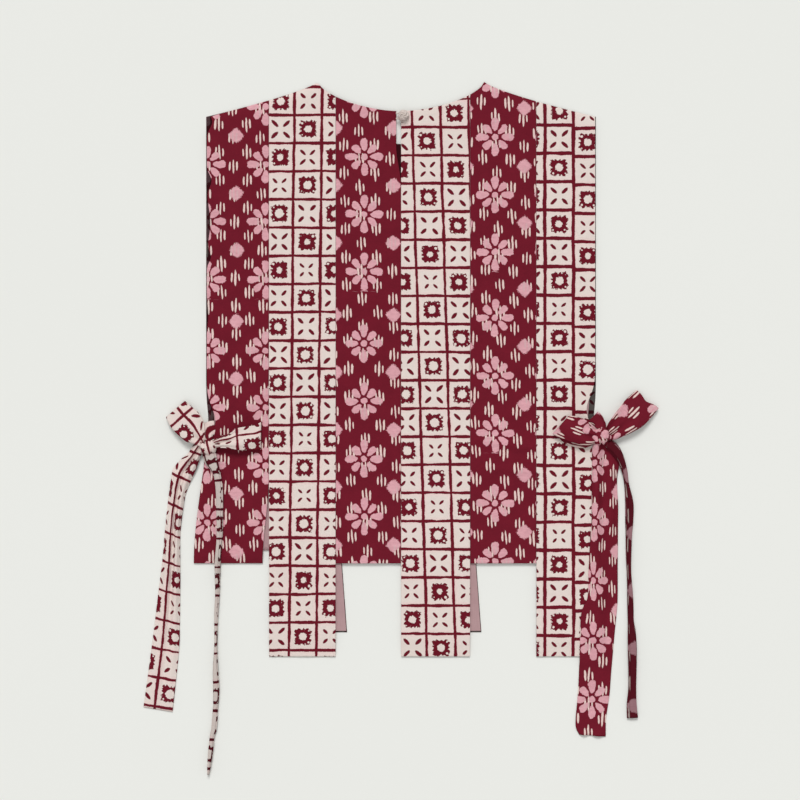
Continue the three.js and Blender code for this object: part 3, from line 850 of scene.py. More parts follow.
def ground(x, y):
    """Height of what a tie lies on: the back's cloth, then down to the floor past its edge."""
    strip = 0 if np.mean(x) < 0 else 5
    inside_y = np.clip(y, hem_y(BACK, strip), top_y(BACK, x))
    left = SEAMS[strip] + drift(BACK, strip, 0, inside_y)
    right = SEAMS[strip + 1] + drift(BACK, strip, 1, inside_y)
    past = np.maximum(np.maximum(left - x, x - right), np.maximum(inside_y - y, 0))
    height = cloth_top(strip, np.clip(x, left, right), inside_y)
    return height * (1 - smooth((past - 2) / DROP))


def resample(stops, count):
    """A smooth curve through the stops, at even distances over its first two coordinates, and its length."""
    stops = np.array(stops, dtype=float)
    padded = np.vstack([2 * stops[0] - stops[1], stops, 2 * stops[-1] - stops[-2]])
    t = np.linspace(0, 1, 12, endpoint=False)[:, None]
    dense = []
    for p0, p1, p2, p3 in zip(padded, padded[1:], padded[2:], padded[3:]):
        bend = (2 * p0 - 5 * p1 + 4 * p2 - p3) * t**2 + (3 * p1 - p0 - 3 * p2 + p3) * t**3
        dense.append(0.5 * (2 * p1 + (p2 - p0) * t + bend))
    dense = np.vstack([*dense, stops[-1:]])
    away = np.concatenate([[0], np.cumsum(np.hypot(*np.diff(dense[:, :2], axis=0).T))])
    at = np.linspace(0, away[-1], count)
    return np.stack([np.interp(at, away, column) for column in dense.T], axis=1), away[-1]


def offset_sheet(middle, thickness, rounded_ends=True):
    """Upper and lower faces of a sheet about its middle surface, thinning round at its long edges."""
    down = np.gradient(middle, axis=0)
    over = np.gradient(middle, axis=1)
    normal = np.cross(over, down)
    normal /= np.maximum(np.linalg.norm(normal, axis=2, keepdims=True), 1e-9)
    across = np.linalg.norm(np.diff(middle, axis=1), axis=2).cumsum(axis=1)
    across = np.concatenate([np.zeros((len(middle), 1)), across], axis=1)
    inside = np.minimum(across, across[:, -1:] - across)
    share = np.sqrt(np.clip(1 - (1 - np.minimum(inside, 0.5) / 0.5) ** 2, 0.03, 1))
    if rounded_ends:
        share[0] *= 0.4
        share[-1] *= 0.4
    half = 0.5 * thickness * share[..., None] * normal
    return middle + half, middle - half


def tie_piece(name, middle, cut, material, node, thickness=None):
    upper, lower = offset_sheet(middle, PLY if thickness is None else thickness)
    points, faces, uv, _ = shell(upper, lower, cut)
    piece = new_piece(name, points, faces, uv, [material], [node])
    return piece


def along_rows(middle):
    """Distance along a sheet at each row, down its middle column."""
    line = middle[:, middle.shape[1] // 2]
    return np.concatenate([[0], np.linalg.norm(np.diff(line, axis=0), axis=1).cumsum()])


def ribbon_cut(middle, print_at):
    """Places on the uncut tie, its width across and its length down."""
    rows, columns = middle.shape[:2]
    across = np.linspace(0, TIE_WIDTH, columns)
    return np.stack(np.meshgrid(across + print_at[0], print_at[1] - along_rows(middle)), axis=-1)


# Height of a loop's middle surface above what it lies on, against the share of its length from the knot
LOOP_FORM = ((0, 7.0), (0.12, 9.2), (0.2, 10.2), (0.35, 10.8), (0.62, 10.0), (0.84, 8.4), (0.96, 6.6),
             (1.0, 4.6), (0.97, 2.6), (0.86, 1.5), (0.6, 1.2), (0.3, 2.6), (0.0, 4.0))
LOOP_PLEAT = 1.8
LOOP_WAVE = 0.8
LOOP_ROWS = 97
LOOP_COLUMNS = 33
LOOP_STOPS = 61


def loop_piece(tie, which, material):
    """A loop leaves the knot gathered, opens, folds over at its far end and comes back underneath."""
    spec = tie[which]
    edge_a, length_a = resample(spec["a"], LOOP_STOPS)
    edge_b, length_b = resample(spec["b"], LOOP_STOPS)
    length = (length_a + length_b) / 2
    form, _ = resample([(share * length, height) for share, height in LOOP_FORM], LOOP_ROWS)
    shares, heights = np.clip(form[:, 0] / length, 0, 1)[:, None], form[:, 1]
    stops = np.linspace(0, 1, LOOP_STOPS)
    t = np.linspace(0, 1, LOOP_COLUMNS)[None, :]
    share = shares - spec.get("notch", 0) * bell(t - 0.5, 0.22) * smooth((shares - 0.7) / 0.3)
    below = smooth((np.arange(LOOP_ROWS)[:, None] - 50) / 20)
    place = np.empty((LOOP_ROWS, LOOP_COLUMNS, 3))
    slid = spec.get("under", 0) * below * smooth(share / 0.3) * smooth((1 - share) / 0.25)
    reach = np.clip(t + slid, -0.3, 1.3)
    for axis in (0, 1):
        a = np.interp(share, stops, edge_a[:, axis])
        b = np.interp(share, stops, edge_b[:, axis])
        place[..., axis] = mix(a, b, reach)
    gather = (1 - smooth(share * 1.15)) ** 1.2
    pleats = LOOP_PLEAT * np.cos(2 * np.pi * (spec["folds"] * t + 0.1))
    belly = 1.1 * np.sin(np.pi * t) * smooth(share * 2) * (1 - below)
    soft = 0.55 * ripples(place[..., 0] * 2.2 + 40 * below, place[..., 1] * 2.2)
    wave = LOOP_WAVE * np.sin(np.pi * (2.2 * t + 1.4 * share)) * smooth(share * 2) * (1 - 0.7 * below)
    base = ground(place[..., 0], place[..., 1])
    place[..., 2] = base + SEAM_GAP + heights[:, None] + gather * pleats + belly + soft + wave
    place[..., 2] = np.maximum(place[..., 2], base + SEAM_GAP + PLY / 2)
    name = f"{tie['name']}_bow_loop_{which}"
    facing = place if tie["flip"][which] else place[:, ::-1]
    cut = ribbon_cut(facing, spec["print_at"])
    along = along_rows(facing)[-1]
    return tie_piece(f"{name}_cloth", facing, cut, material, name)


# The tails: their height over the rest where they leave the knot, and the wide ones' pleats and buckles
TAIL_LIFT = 3.0
TALLEST_PLEAT = 5.0
TAIL_BUCKLE = 0.8
TAIL_BUCKLE_AT = 90
# The right wide tail's print: drawn in at the knot down to a height, hung a little off plumb, and stretched
DRAWN_IN = 1.3
DRAWN_IN_DOWN_TO = -650
OFF_PLUMB = 0.01
STRETCH = 0.9686


def wide_tail_piece(tie, material):
    """A tail between two edges in plan: pleated where it leaves the knot, flat at its end."""
    spec = tie["wide"]
    rows, columns, pleats = 150, 41, 2
    left, length_left = resample(spec["left"], rows)
    right, length_right = resample(spec["right"], rows)
    t = np.linspace(0, 1, columns)[None, :]
    middle = np.empty((rows, columns, 3))
    for axis in (0, 1):
        middle[..., axis] = mix(left[:, axis][:, None], right[:, axis][:, None], t)
    plan_width = np.hypot(*(right[:, :2] - left[:, :2]).T)
    spare = np.sqrt(np.clip(TIE_WIDTH**2 - plan_width**2, 0, None)) / (2 * pleats)
    x, y = middle[..., 0], middle[..., 1]
    base = ground(x, y)
    along = np.linspace(0, (length_left + length_right) / 2, rows)[:, None]
    fold = 0.5 - 0.5 * np.cos(2 * np.pi * pleats * t ** spec["lean"])
    rise = np.minimum(spare[:, None] * 0.8, TALLEST_PLEAT) * fold
    soft = RIPPLE * (ripples(x * 1.6, y * 1.6) + 1) * smooth(along / 20)
    buckle = TAIL_BUCKLE * (np.sin(along * 0.11 + 4 * t) + 1) * bell(along - TAIL_BUCKLE_AT, 60)
    start = (1 - smooth(along / 16)) * TAIL_LIFT
    middle[..., 2] = base + SEAM_GAP + PLY / 2 + 0.1 + rise + soft + buckle + start
    name = f"{tie['name']}_tail_wide"
    cut = ribbon_cut(middle, spec["print_at"])
    if spec.get("upright"):
        flower_x, flower_y = tie["print"]["flower_at"]
        drawn_in = mix(DRAWN_IN, 1.0, smooth((DRAWN_IN_DOWN_TO - y) / 80))
        aside, down = x - OFF_PLUMB * (y - flower_y) - flower_x, STRETCH * (y - flower_y)
        cut = np.stack([flower_x + aside * drawn_in, flower_y + down], axis=-1)
    return tie_piece(f"{name}_cloth", middle, cut, material, name)


def folded_piece(name, node, line, section, spec, material):
    """A stretch folded lengthwise: line is its place, width and height, and section its plies."""
    rows = 170 if len(line) > 6 else 48
    line, length = resample(line, rows)
    along = np.linspace(0, length, rows)
    step = np.gradient(line[:, :2], axis=0)
    step /= np.linalg.norm(step, axis=1, keepdims=True)
    aside = np.stack([-step[:, 1], step[:, 0]], axis=1)
    columns = 4 * len(section)
    profile, _ = resample(section, columns)
    middle = np.empty((rows, columns, 3))
    turn = np.interp(along, [0, length * 0.3, length * 0.62, length], spec["turn"])[:, None]
    tallest = profile[:, 1].max()
    shift = profile[None, :, 0] + turn * 0.12 * (profile[None, :, 1] - tallest / 2)
    for axis in (0, 1):
        middle[..., axis] = line[:, axis][:, None] + aside[:, axis][:, None] * line[:, 2][:, None] * shift
    flat = np.interp(along, [0, length], spec["open"])[:, None]
    tall = flat * (1.0 + 0.25 * np.sin(along * 0.05)[:, None])
    middle[..., 2] = line[:, 3][:, None] + PLY / 2 + profile[None, :, 1] * 1.55 * tall
    if spec.get("rests"):
        middle[..., 2] += ground(middle[..., 0], middle[..., 1]) + SEAM_GAP
    cut = ribbon_cut(middle, spec["print_at"])
    return tie_piece(name, middle, cut, material, node, thickness=0.7)


def narrow_tail_piece(tie, material):
    """A tail folded lengthwise in five plies."""
    spec = dict(tie["narrow"], rests=True, open=(1, 1))
    slim = spec.get("slim", 1)
    line = []
    for i, (x, y, width) in enumerate(spec["line"]):
        line.append((x, y, width * mix(1, slim, min(1, i / 4)), TAIL_LIFT * max(0, 1 - i / 3)))
    section = [(-tie["side"] * across, height) for across, height in FOLDED]
    node = f"{tie['name']}_tail_narrow"
    return folded_piece(f"{node}_cloth", node, line, section, spec, material)


def root_piece(tie, which, material):
    """The stretch from a panel's side edge down into the knot, in three plies, as a fan about its corner."""
    spec = {"open": (0.3, 1.0), "turn": (0, 0.5, 0, 0), "print_at": tie["root_print"]}
    section = [(-tie["side"] * across, height) for across, height in FOLDED[:11]]
    corner, radii, start, turn, low, high = tie[f"{which}_root"]
    line = []
    for i, radius in enumerate(radii):
        share = i / (len(radii) - 1)
        angle = math.radians(90 - tie["side"] * (start + turn * share))
        middle = (radius + 1.5) / 2
        place = (corner[0] + middle * math.cos(angle), corner[1] + middle * math.sin(angle))
        line.append((*place, radius - 1.5, mix(low, high, float(smooth(share)))))
    node = f"{tie['name']}_tie_root_{which}"
    return folded_piece(f"{node}_cloth", node, line, section, spec, material)


KNOT_REACH = 12
KNOT_GIRTH = 46


def knot_piece(tie, material):
    """The turn of tie round the middle of the bow: a band drawn in tight, creased round its girth."""
    spec = tie["knot"]
    rings, around = 40, 56
    side = np.linspace(-1, 1, rings)
    girth = np.linspace(0, 2 * np.pi, around, endpoint=False)
    a, g = np.meshgrid(side, girth, indexing="ij")
    swell = (1 - np.abs(a) ** 3.2) ** 0.42
    crease = 0.07 * np.cos(2 * np.pi * (1.4 * a + 0.16 * np.sin(g + 0.6)) + spec["phase"])
    for at, slant, depth in spec["creases"]:
        crease -= depth * bell(a - at - slant * np.cos(g), 0.09)
    lumps = 0.03 * np.sin(3 * g + 5 * a)
    reach = swell * (1 + (crease + lumps) * (1 - np.abs(a) ** 4))
    along = a * spec["radii"][0] * (1 + 0.05 * np.sin(2 * g))
    across = np.cos(g) * reach * spec["radii"][1]
    up = np.sin(g) * reach * spec["radii"][2]
    turn = math.radians(spec["turn"])
    x = spec["at"][0] + along * math.cos(turn) - across * math.sin(turn)
    y = spec["at"][1] + along * math.sin(turn) + across * math.cos(turn)
    base = float(ground(np.array(spec["at"][0]), np.array(spec["at"][1])))
    z = np.maximum(base + SEAM_GAP + 0.3 + spec["radii"][2] + up, base + SEAM_GAP + 0.1)
    points = np.stack([x, y, z], axis=-1).reshape(-1, 3)
    faces = rings_joined(rings, around)
    cut = np.stack([a * KNOT_REACH, g / (2 * np.pi) * KNOT_GIRTH], axis=-1).reshape(-1, 2) + spec["print_at"]
    name = f"{tie['name']}_bow_knot"
    return new_piece(f"{name}_cloth", points, faces, cut, [material], [name])


# Section of a tail folded lengthwise in five plies: place across in widths, height in plies
FOLDED = ((-0.5, 0), (0, 0), (0.42, 0.05), (0.5, 0.4), (0.42, 0.75), (0, 0.8), (-0.4, 0.85),
          (-0.48, 1.2), (-0.4, 1.55), (0, 1.6), (0.42, 1.65), (0.5, 2.0), (0.42, 2.35), (0, 2.4),
          (-0.42, 2.45), (-0.5, 2.8), (-0.36, 3.15), (0.05, 3.2), (0.25, 3.1))
# Each tie has the outlines of its loops and tails in plan, the place on its uncut cloth where each starts,
# and for each root its corner, radii, first angle and turn in degrees, and height at the edge and the knot
LEFT_TIE = {
    "name": "left",
    "side": -1,
    "slot": "cream_print",
    "flip": {"outer": True, "inner": False},
    "outer": {
        "a": [(-251.3, -461.4), (-251.9, -448.2), (-253, -440.3), (-257.9, -429.4), (-269.7, -418.2),
              (-277.6, -411.2)],
        "b": [(-256, -470), (-269.7, -465), (-277.6, -462), (-294.3, -446.3), (-302.2, -432.4)],
        "print_at": (-15, 7), "folds": 2.2,
    },
    "inner": {
        "a": [(-246, -463), (-231.2, -456.2), (-218.4, -452.1), (-210.6, -446.3), (-199.8, -444),
              (-187.9, -442.3), (-179.9, -438.2)],
        "b": [(-244, -473), (-230.7, -471), (-216.5, -472.3), (-207.5, -473.9), (-188.8, -473.9),
              (-180.2, -473.3)],
        "print_at": (-25, 74.2), "folds": 2.6,
    },
    "wide": {
        "left": [(-263, -462), (-269, -470), (-274.5, -478.8), (-283, -485.7), (-293, -497.5),
                 (-295.6, -507.7), (-300.5, -543.3), (-303.6, -573), (-307.4, -616), (-312.5, -657.2),
                 (-320.8, -724.9), (-331.7, -805.4)],
        "right": [(-248, -468), (-252.6, -475.5), (-257.5, -481.6), (-263.5, -498.7), (-275.9, -527.1),
                  (-280.3, -548.2), (-284.2, -585), (-284.2, -640), (-284.8, -696.8), (-286.1, -734.3),
                  (-294.2, -811.6)],
        "print_at": (-14.2, 16.5), "lean": 1.2,
    },
    "narrow": {
        "line": [(-247, -475, 13), (-243, -488, 15), (-237, -502, 10), (-233.3, -525.8, 10.3),
                 (-232.9, -551.6, 9.7), (-232.7, -577.3, 7.7), (-233.9, -598, 6.4), (-235.8, -622.4, 7.1),
                 (-236.1, -657.2, 6.2), (-237.8, -686.9, 5.8), (-238.4, -725.5, 4.2), (-238.8, -755.2, 7.7),
                 (-237.9, -783.5, 9.4), (-238.8, -804.1, 7.7), (-240.6, -831.2, 8.5), (-243, -842.2, 7),
                 (-245.4, -865.5, 7), (-248.1, -891.8, 2.6)],
        "turn": (1, -1, 0.6, 0), "print_at": (-17, 3), "slim": 0.78,
    },
    "back_root": ((-240.6, -457), (21, 20, 18, 15, 13, 12), -8, 140, 3.9, 7.6),
    "front_root": ((-248.6, -457), (20, 18, 15, 13, 12, 11), 0, 150, 0.3, 3.4),
    "root_print": (2, 22),
    "knot": {
        "at": (-247, -470.5), "radii": (9.8, 9.4, 7.2), "turn": 14, "phase": 0.4, "print_at": (0, -2),
        "creases": ((-0.5, 0.16, 0.2), (-0.12, -0.22, 0.16), (0.34, 0.1, 0.22)),
    },
    "print": {"corner": (0, 0), "cell": (35.3, 37.2), "thick": 1.7},
    # Shares kept of the dark and pale dyes on the narrow tail: its wrong side, dulled and darkened as painted
    # shade
    "reverse": (0.5, 0.74),
}
RIGHT_TIE = {
    "name": "right",
    "side": 1,
    "slot": "maroon_print",
    "flip": {"outer": False, "inner": True},
    "outer": {
        "a": [(260.3, -451), (264.2, -443.3), (275.3, -427.5), (288.2, -410.7), (302.8, -397.3)],
        "b": [(266, -461), (274, -461), (284.2, -457), (297, -451), (312.8, -441.2), (331.4, -420.5)],
        "print_at": (25, 22), "folds": 2.3, "notch": 0.05,
    },
    "inner": {
        "a": [(252.6, -448.5), (243.6, -440.7), (233.9, -434.3), (224.2, -431), (216.1, -429.4)],
        "b": [(252.6, -462.6), (243.6, -467), (231, -467), (213, -462), (202, -457), (194.5, -453.6)],
        "print_at": (26.6, 39), "folds": 2.4, "under": 0.15,
    },
    "wide": {
        "left": [(252.6, -461.4), (246.1, -469.1), (245.5, -493.6), (244.9, -525.8), (244.9, -567),
                 (242.9, -592.8), (241, -628.9), (239.7, -663.7), (231.4, -686), (229.8, -742.3),
                 (228, -784.8), (224.7, -826.7), (229.4, -840.7)],
        "right": [(268, -461.4), (279.5, -473), (281.6, -489.7), (278.4, -511.6), (279.6, -552.9),
                  (279.1, -616), (279.1, -663.7), (277.6, -686.9), (275.1, -712), (270.6, -762.9),
                  (268.7, -788.7), (264.2, -820.4), (263.7, -843.3)],
        "print_at": (241, -461), "lean": 0.8, "upright": True,
    },
    "narrow": {
        "line": [(266, -466, 11), (275, -474, 11), (282.5, -486, 9), (287.5, -500.8, 6.8), (290.2, -516.8, 5),
                 (293.8, -542.5, 8.5), (293.8, -566.5, 7.2), (293.2, -583.8, 5.9), (292.8, -612.1, 5.3),
                 (293.4, -632.8, 4.6), (295.1, -663.7, 7), (295.8, -693.3, 7), (297, -709.4, 9.5),
                 (297.7, -730.7, 10.8), (297.9, -750, 10.2), (297.7, -779.7, 9.5), (297, -801.6, 12.1),
                 (298, -819, 13.5)],
        "turn": (-1, 1, -0.6, 0), "print_at": (251, -337),
    },
    "back_root": ((247, -443.5), (22, 15.5, 13.5, 13.5, 13.5, 12.5), -4, 126, 3.9, 7.6),
    "front_root": ((250.6, -443), (19, 15, 13, 13, 13, 12), 0, 130, 0.3, 3.4),
    "root_print": (262, -610),
    "knot": {
        "at": (256, -456.5), "radii": (11.5, 10.6, 7.2), "turn": 24, "phase": 1.1, "print_at": (331, -656.5),
        "creases": ((-0.42, -0.14, 0.22), (0.0, 0.2, 0.16), (0.44, -0.08, 0.2)),
    },
    "print": {"dash_at": (260.2, -672.9), "dash_step": (17.9, 18.0), "flower_at": (246.8, -719)},
    # Shares kept of the dark and pale dyes on the narrow tail: its wrong side, dulled and darkened as painted
    # shade
    "reverse": (0.5, 0.42),
}


def bow(tie, colours):
    """Every piece of one bow."""
    tie_print = cream_print if tie is LEFT_TIE else maroon_print
    name = f"{tie['name']}_tie_print"
    material = tie_print(name, colours, **tie["print"])
    # The narrow tail's print: its wrong side, dulled and darkened as painted shade
    reverse = tie_print(f"{name}_reverse", shaded(colours, *tie["reverse"]), **tie["print"])
    root_piece(tie, "front", material)
    root_piece(tie, "back", material)
    knot_piece(tie, material)
    loop_piece(tie, "outer", material)
    loop_piece(tie, "inner", material)
    wide_tail_piece(tie, material)
    narrow_tail_piece(tie, reverse)


# --- Neck -----------------------------------------------------------------------------------------
BUTTON_AT = (3.0, -44.5)
BUTTON_RADIUS = 6.6
# From the shank's foot to the top: radius and height in button radii
BUTTON_OUTLINE = ((0.3, -0.62), (0.3, -0.42), (0.62, -0.4), (0.93, -0.2), (1, 0.08), (0.94, 0.36),
                  (0.74, 0.6), (0.42, 0.74), (0.12, 0.76), (0.01, 0.74))
STITCH = 2.6
# How far a stitch sinks into the cloth along its length
STITCH_DIPS = np.array([0.22, 0.04, 0, 0.04, 0.22])
# How far the front's facing stays in from the shoulders, and its depth
FACING_INSET = 6
FACING_DEEP = 62


def tube(line, radius, around):
    """Points and faces of a round cord along a line, closed at its ends."""
    line = np.asarray(line, dtype=float)
    ahead = np.gradient(line, axis=0)
    ahead /= np.linalg.norm(ahead, axis=1, keepdims=True)
    aside = np.cross(ahead, (0, 0, 1))
    aside /= np.maximum(np.linalg.norm(aside, axis=1, keepdims=True), 1e-9)
    up = np.cross(aside, ahead)
    angle = np.linspace(0, 2 * np.pi, around, endpoint=False)
    radius = np.broadcast_to(radius, len(line))[:, None, None]
    ring = np.cos(angle)[None, :, None] * aside[:, None] + np.sin(angle)[None, :, None] * up[:, None]
    points = (line[:, None] + radius * ring).reshape(-1, 3)
    return points, rings_joined(len(line), around)


def join(parts):
    """Several (points, faces) as one."""
    points, faces, start = [], [], 0
    for some_points, some_faces in parts:
        points.append(some_points)
        faces += [[i + start for i in face] for face in some_faces]
        start += len(some_points)
    return np.concatenate(points), faces


def thread_paint(name, colour):
    """Twisted thread or a bias tube of plain cloth."""
    paint = Paint(name)
    twist = ((paint.u + paint.v) * 9).sine()
    patchy = paint.noise(paint.u, paint.v, 3, detail=2.0)[0]
    light = (patchy + twist * 0.12 + 0.62).clamped()
    body = paint.blend(rgba(tuple(c * 0.7 for c in colour)), rgba(colour), light)
    return paint.finish(body, 0.8, twist * 0.3 + 0.5, THREAD_RELIEF)


def button_piece(colours):
    """A ball button in cream cloth, its gathers swirled to the middle, on a shank."""
    rings, around = 46, 96
    angle = np.linspace(0, 2 * np.pi, around, endpoint=False)
    curve, _ = resample(BUTTON_OUTLINE, rings)
    reach, height = curve[:, 0][:, None], curve[:, 1][:, None]
    swirl = angle[None, :] + 1.9 * (1 - reach) * (height > 0)
    fold = np.cos(5 * swirl) * 0.55 + np.cos(3 * swirl + 1.0) * 0.35 + np.cos(11 * swirl) * 0.1
    strength = smooth((height + 0.1) / 0.4) * smooth(reach / 0.35)
    radius = BUTTON_RADIUS * reach * (1 + 0.035 * fold * (1 - strength))
    x = BUTTON_AT[0] + radius * np.cos(angle)[None, :]
    y = BUTTON_AT[1] + radius * np.sin(angle)[None, :]
    foot = float(cloth_top(3, np.array(BUTTON_AT[0]), np.array(BUTTON_AT[1])))
    z = foot + 0.2 + BUTTON_RADIUS * (height - BUTTON_OUTLINE[0][1] + 0.2 * fold * strength)
    points = np.stack([x, y, np.broadcast_to(z, x.shape)], axis=-1).reshape(-1, 3)
    faces = rings_joined(rings, around)
    paint = thread_paint("button_cloth", tuple(colours.cream))
    name = "neck_button"
    return new_piece(f"{name}_cloth", points, faces, points[:, :2], [paint], [name])


def button_loop_piece(colours):
    """A thin bias loop from the slit's other edge round under the button."""
    edge = float(SEAMS[3] - NECK_SLIT_WIDTH - 0.6)
    x, y = BUTTON_AT
    turns = np.radians([150, 110, 70, 30, 0, -30, -70, -110, -150])
    round_ = [(x + 6.9 * math.cos(a), y + 6.9 * math.sin(a)) for a in turns]
    stops = [(edge, y + 3.4), *round_, (edge, y - 3.4)]
    line, _ = resample(stops, 60)
    z = cloth_top(3, np.maximum(line[:, 0], 1), line[:, 1]) + 1.25
    points, faces = tube(np.column_stack([line, z]), 0.95, around=12)
    paint = thread_paint("button_loop_cloth", tuple(colours.cream))
    name = "neck_button_loop"
    return new_piece(f"{name}_cloth", points, faces, points[:, :2], [paint], [name])


def stitch_run(strip, span, inset):
    """Short raised stitches on one strip, inset from the neck edge, from one x to another."""
    parts = []
    place = span[0]
    while place < span[1]:
        line_x = np.linspace(place, place + STITCH * 0.68, 5)
        line_y = top_y(BACK, line_x) - inset
        share = (line_x - SEAMS[strip]) / STRIP_WIDTHS[strip]
        x = line_x + drift(BACK, strip, share, line_y)
        z = cloth_top(strip, x, line_y) + RIPPLE * ripples(x, line_y) + 0.04 - STITCH_DIPS
        parts.append(tube(np.column_stack([x, line_y, z]), 0.2, around=6))
        place += STITCH
    return parts


def neck_stitches(colours):
    """A line of stitches below the back neck."""
    runs = ((1, (-105, -85.5)), (2, (-82, -8)), (3, (8, 87)), (4, (91, 105)))
    parts = [part for strip, span in runs for part in stitch_run(strip, span, 5)]
    points, faces = join(parts)
    paint = thread_paint("stitch_thread", tuple(colours.maroon_dark))
    return new_piece("neck_stitches", points, faces, points[:, :2], [paint], [])


def front_facing():
    """The band of flowered cloth that faces the inside of the front's neckline, its print darkened as painted
    shade.
    """
    across = -NECK_HALF + FACING_INSET + spaced(2 * (NECK_HALF - FACING_INSET), 4)
    down = spaced(FACING_DEEP, 4)
    x, depth = np.meshgrid(across, down[::-1])
    y = top_y(FRONT, x) - 0.6 - depth
    z = np.full(x.shape, 2 * LAYER + 0.1)
    thin = np.minimum(edge_share(down)[:, None], edge_share(across)[None, :])
    half = 0.12 * thin
    upper, lower = np.stack([x, y, z + half], axis=-1), np.stack([x, y, z - half], axis=-1)
    points, faces, uv, _ = shell(upper, lower, np.stack([x, y], axis=-1))
    # The facing's print darkened as painted shade
    colours = shaded(bpy.context.scene.blouse_colours)
    paint = maroon_print("front_facing_print", colours, **MAROON_PLACES[2])
    piece = new_piece("front_neck_facing", points, faces, uv, [paint], [])
    return piece


# --- Properties, operators and panel --------------------------------------------------------------
def colour_property(name, text, value):
    default = srgb(*value)
    return FloatVectorProperty(
        name=name, description=text, subtype="COLOR", size=3, min=0, max=1, default=default
    )


class BlouseColours(bpy.types.PropertyGroup):
    """Dyes of the two prints and the lining."""

    maroon: colour_property("Maroon", "Ground of the flowered cloth", (121, 25, 43))
    maroon_dark: colour_property("Maroon, deep", "Where the dye took most", (104, 20, 36))
    maroon_line: colour_property("Maroon, lines", "Lines and figures of the squared cloth", (110, 17, 34))
    petal: colour_property("Petal", "Flowers", (240, 182, 190))
    petal_deep: colour_property("Petal, deep", "Streaks in the flowers", (221, 162, 171))
    stroke: colour_property("Stroke", "Short strokes on maroon", (246, 219, 211))
    stroke_on_pink: colour_property("Stroke on pink", "Short strokes that cross a flower", (216, 186, 186))
    cream: colour_property("Cream", "Ground of the squared cloth", (236, 222, 214))
    cream_stained: colour_property("Cream, stained", "Ground beside the dyed lines", (244, 211, 207))
    cream_grey: colour_property("Cream, greyed", "Uneven patches of the squared cloth", (224, 209, 202))
    rose: colour_property("Rose", "Lining", (190, 157, 158))
    rose_deep: colour_property("Rose, deep", "Uneven patches of the lining", (174, 139, 141))
    floor: colour_property("Floor", "Plain floor under the blouse", (238, 239, 234))


class BlouseCloth(bpy.types.PropertyGroup):
    """Sizes of the cloth's finish."""

    seam_depth: FloatProperty(
        name="Seam depth",
        description="How far the cloth dips at a seam",
        default=0.0004,
        unit="LENGTH",
        min=0,
        max=0.001,
    )


FLOOR_HALF = 6.0
CAMERA_SPAN = 1.031
CAMERA_OVER = (-1.3, -409.8)
LENS = 85
SENSOR = 36
WORLD_LIGHT = 0.42
# Name, strength, spread, heading and elevation of the soft lights, the angles in degrees
STAGE_LIGHTS = (
    ("key_light", 1.75, 22, 95, 50),
    ("fill_light", 0.45, 60, 250, 60),
)


class BLOUSE_OT_stage(bpy.types.Operator):
    """Pale floor, soft lights and a camera straight above"""

    bl_idname = "blouse.stage"
    bl_label = "Stage"

    def execute(self, context):
        scene = context.scene
        size = FLOOR_HALF
        corners = [(-size, -size, 0), (size, -size, 0), (size, size, 0), (-size, size, 0)]
        mesh = bpy.data.meshes.new("floor")
        mesh.from_pydata(corners, [], [(0, 1, 2, 3)])
        layer = mesh.uv_layers.new(name="Cut")
        layer.data.foreach_set("uv", [0, 0, size, 0, size, size, 0, size])
        mesh.materials.append(stage_floor("floor_paint", tuple(scene.blouse_colours.floor)))
        floor = bpy.data.objects.new("floor", mesh)
        scene.collection.objects.link(floor)
        for name, strength, spread, heading, elevation in STAGE_LIGHTS:
            light = bpy.data.lights.new(name, "SUN")
            light.energy = strength
            light.angle = math.radians(spread)
            holder = bpy.data.objects.new(name, light)
            holder.rotation_euler = (0, math.radians(90 - elevation), math.radians(heading))
            scene.collection.objects.link(holder)
        world = bpy.data.worlds.new("studio")
        world.use_nodes = True
        world.node_tree.nodes["Background"].inputs["Color"].default_value = (1, 1, 1, 1)
        world.node_tree.nodes["Background"].inputs["Strength"].default_value = WORLD_LIGHT
        scene.world = world
        scene.view_settings.view_transform = "Standard"
        camera = bpy.data.cameras.new("camera")
        camera.lens = LENS
        camera.sensor_width = SENSOR
        camera.clip_end = 50
        eye = bpy.data.objects.new("camera", camera)
        eye.location = put((*CAMERA_OVER, CAMERA_SPAN / MM * LENS / SENSOR)).tolist()
        scene.collection.objects.link(eye)
        scene.camera = eye
        return {"FINISHED"}


class BLOUSE_OT_back_strips(bpy.types.Operator):
    """Six strips of the back, in turn flowered and squared"""

    bl_idname = "blouse.back_strips"
    bl_label = "Back strips"

    def execute(self, context):
        for strip in range(6):
            strip_piece(BACK, strip, print_for(BACK, strip))
        return {"FINISHED"}


class BLOUSE_OT_front_strips(bpy.types.Operator):
    """Six strips of the front, under the back"""

    bl_idname = "blouse.front_strips"
    bl_label = "Front strips"

    def execute(self, context):
        for strip in range(6):
            strip_piece(FRONT, strip, print_for(FRONT, strip))
        front_facing()
        return {"FINISHED"}


class BLOUSE_OT_linings(bpy.types.Operator):
    """Linings of the back and the front"""

    bl_idname = "blouse.linings"
    bl_label = "Linings"

    def execute(self, context):
        rose = rose_cloth("rose_lining_cloth", context.scene.blouse_colours)
        for panel in (BACK, FRONT):
            lining_piece(panel, rose)
        return {"FINISHED"}


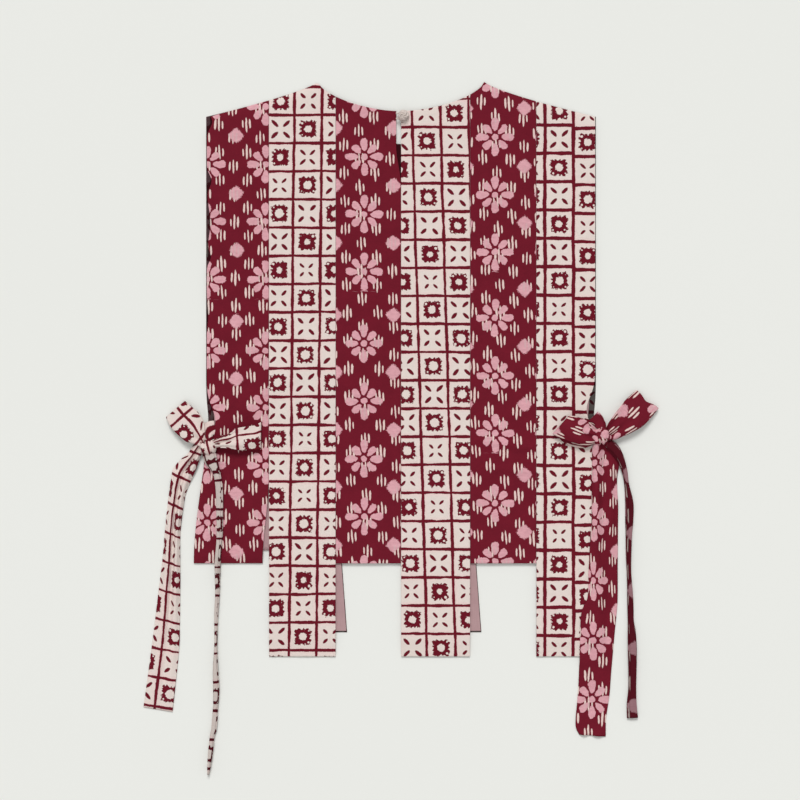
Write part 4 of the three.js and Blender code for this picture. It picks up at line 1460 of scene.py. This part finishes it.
class BLOUSE_OT_left_bow(bpy.types.Operator):
    """Bow at the left side, of the squared cloth"""

    bl_idname = "blouse.left_bow"
    bl_label = "Left bow"

    def execute(self, context):
        bow(LEFT_TIE, context.scene.blouse_colours)
        return {"FINISHED"}


class BLOUSE_OT_right_bow(bpy.types.Operator):
    """Bow at the right side, of the flowered cloth"""

    bl_idname = "blouse.right_bow"
    bl_label = "Right bow"

    def execute(self, context):
        bow(RIGHT_TIE, context.scene.blouse_colours)
        return {"FINISHED"}


class BLOUSE_OT_neck(bpy.types.Operator):
    """Button, its loop and the stitches round the back neck"""

    bl_idname = "blouse.neck"
    bl_label = "Neck"

    def execute(self, context):
        colours = context.scene.blouse_colours
        button_piece(colours)
        button_loop_piece(colours)
        neck_stitches(colours)
        return {"FINISHED"}


STEPS = (
    BLOUSE_OT_stage,
    BLOUSE_OT_back_strips,
    BLOUSE_OT_front_strips,
    BLOUSE_OT_linings,
    BLOUSE_OT_left_bow,
    BLOUSE_OT_right_bow,
    BLOUSE_OT_neck,
)


class BLOUSE_PT_sidebar(bpy.types.Panel):
    bl_idname = "BLOUSE_PT_sidebar"
    bl_label = "Blouse"
    bl_space_type = "VIEW_3D"
    bl_region_type = "UI"
    bl_category = "Blouse"

    def draw(self, context):
        for group in (context.scene.blouse_cloth, context.scene.blouse_colours):
            for key in group.__annotations__:
                self.layout.prop(group, key)
        for step in STEPS:
            self.layout.operator(step.bl_idname)


CLASSES = (BlouseColours, BlouseCloth, *STEPS, BLOUSE_PT_sidebar)


def register():
    for cls in CLASSES:
        bpy.utils.register_class(cls)
    bpy.types.Scene.blouse_colours = PointerProperty(type=BlouseColours)
    bpy.types.Scene.blouse_cloth = PointerProperty(type=BlouseCloth)


def unregister():
    del bpy.types.Scene.blouse_cloth
    del bpy.types.Scene.blouse_colours
    for cls in reversed(CLASSES):
        bpy.utils.unregister_class(cls)


def main():
    register()
    for step in STEPS:
        group, action = step.bl_idname.split(".")
        getattr(getattr(bpy.ops, group), action)()
    bpy.context.view_layer.update()


if __name__ == "__main__":
    main()
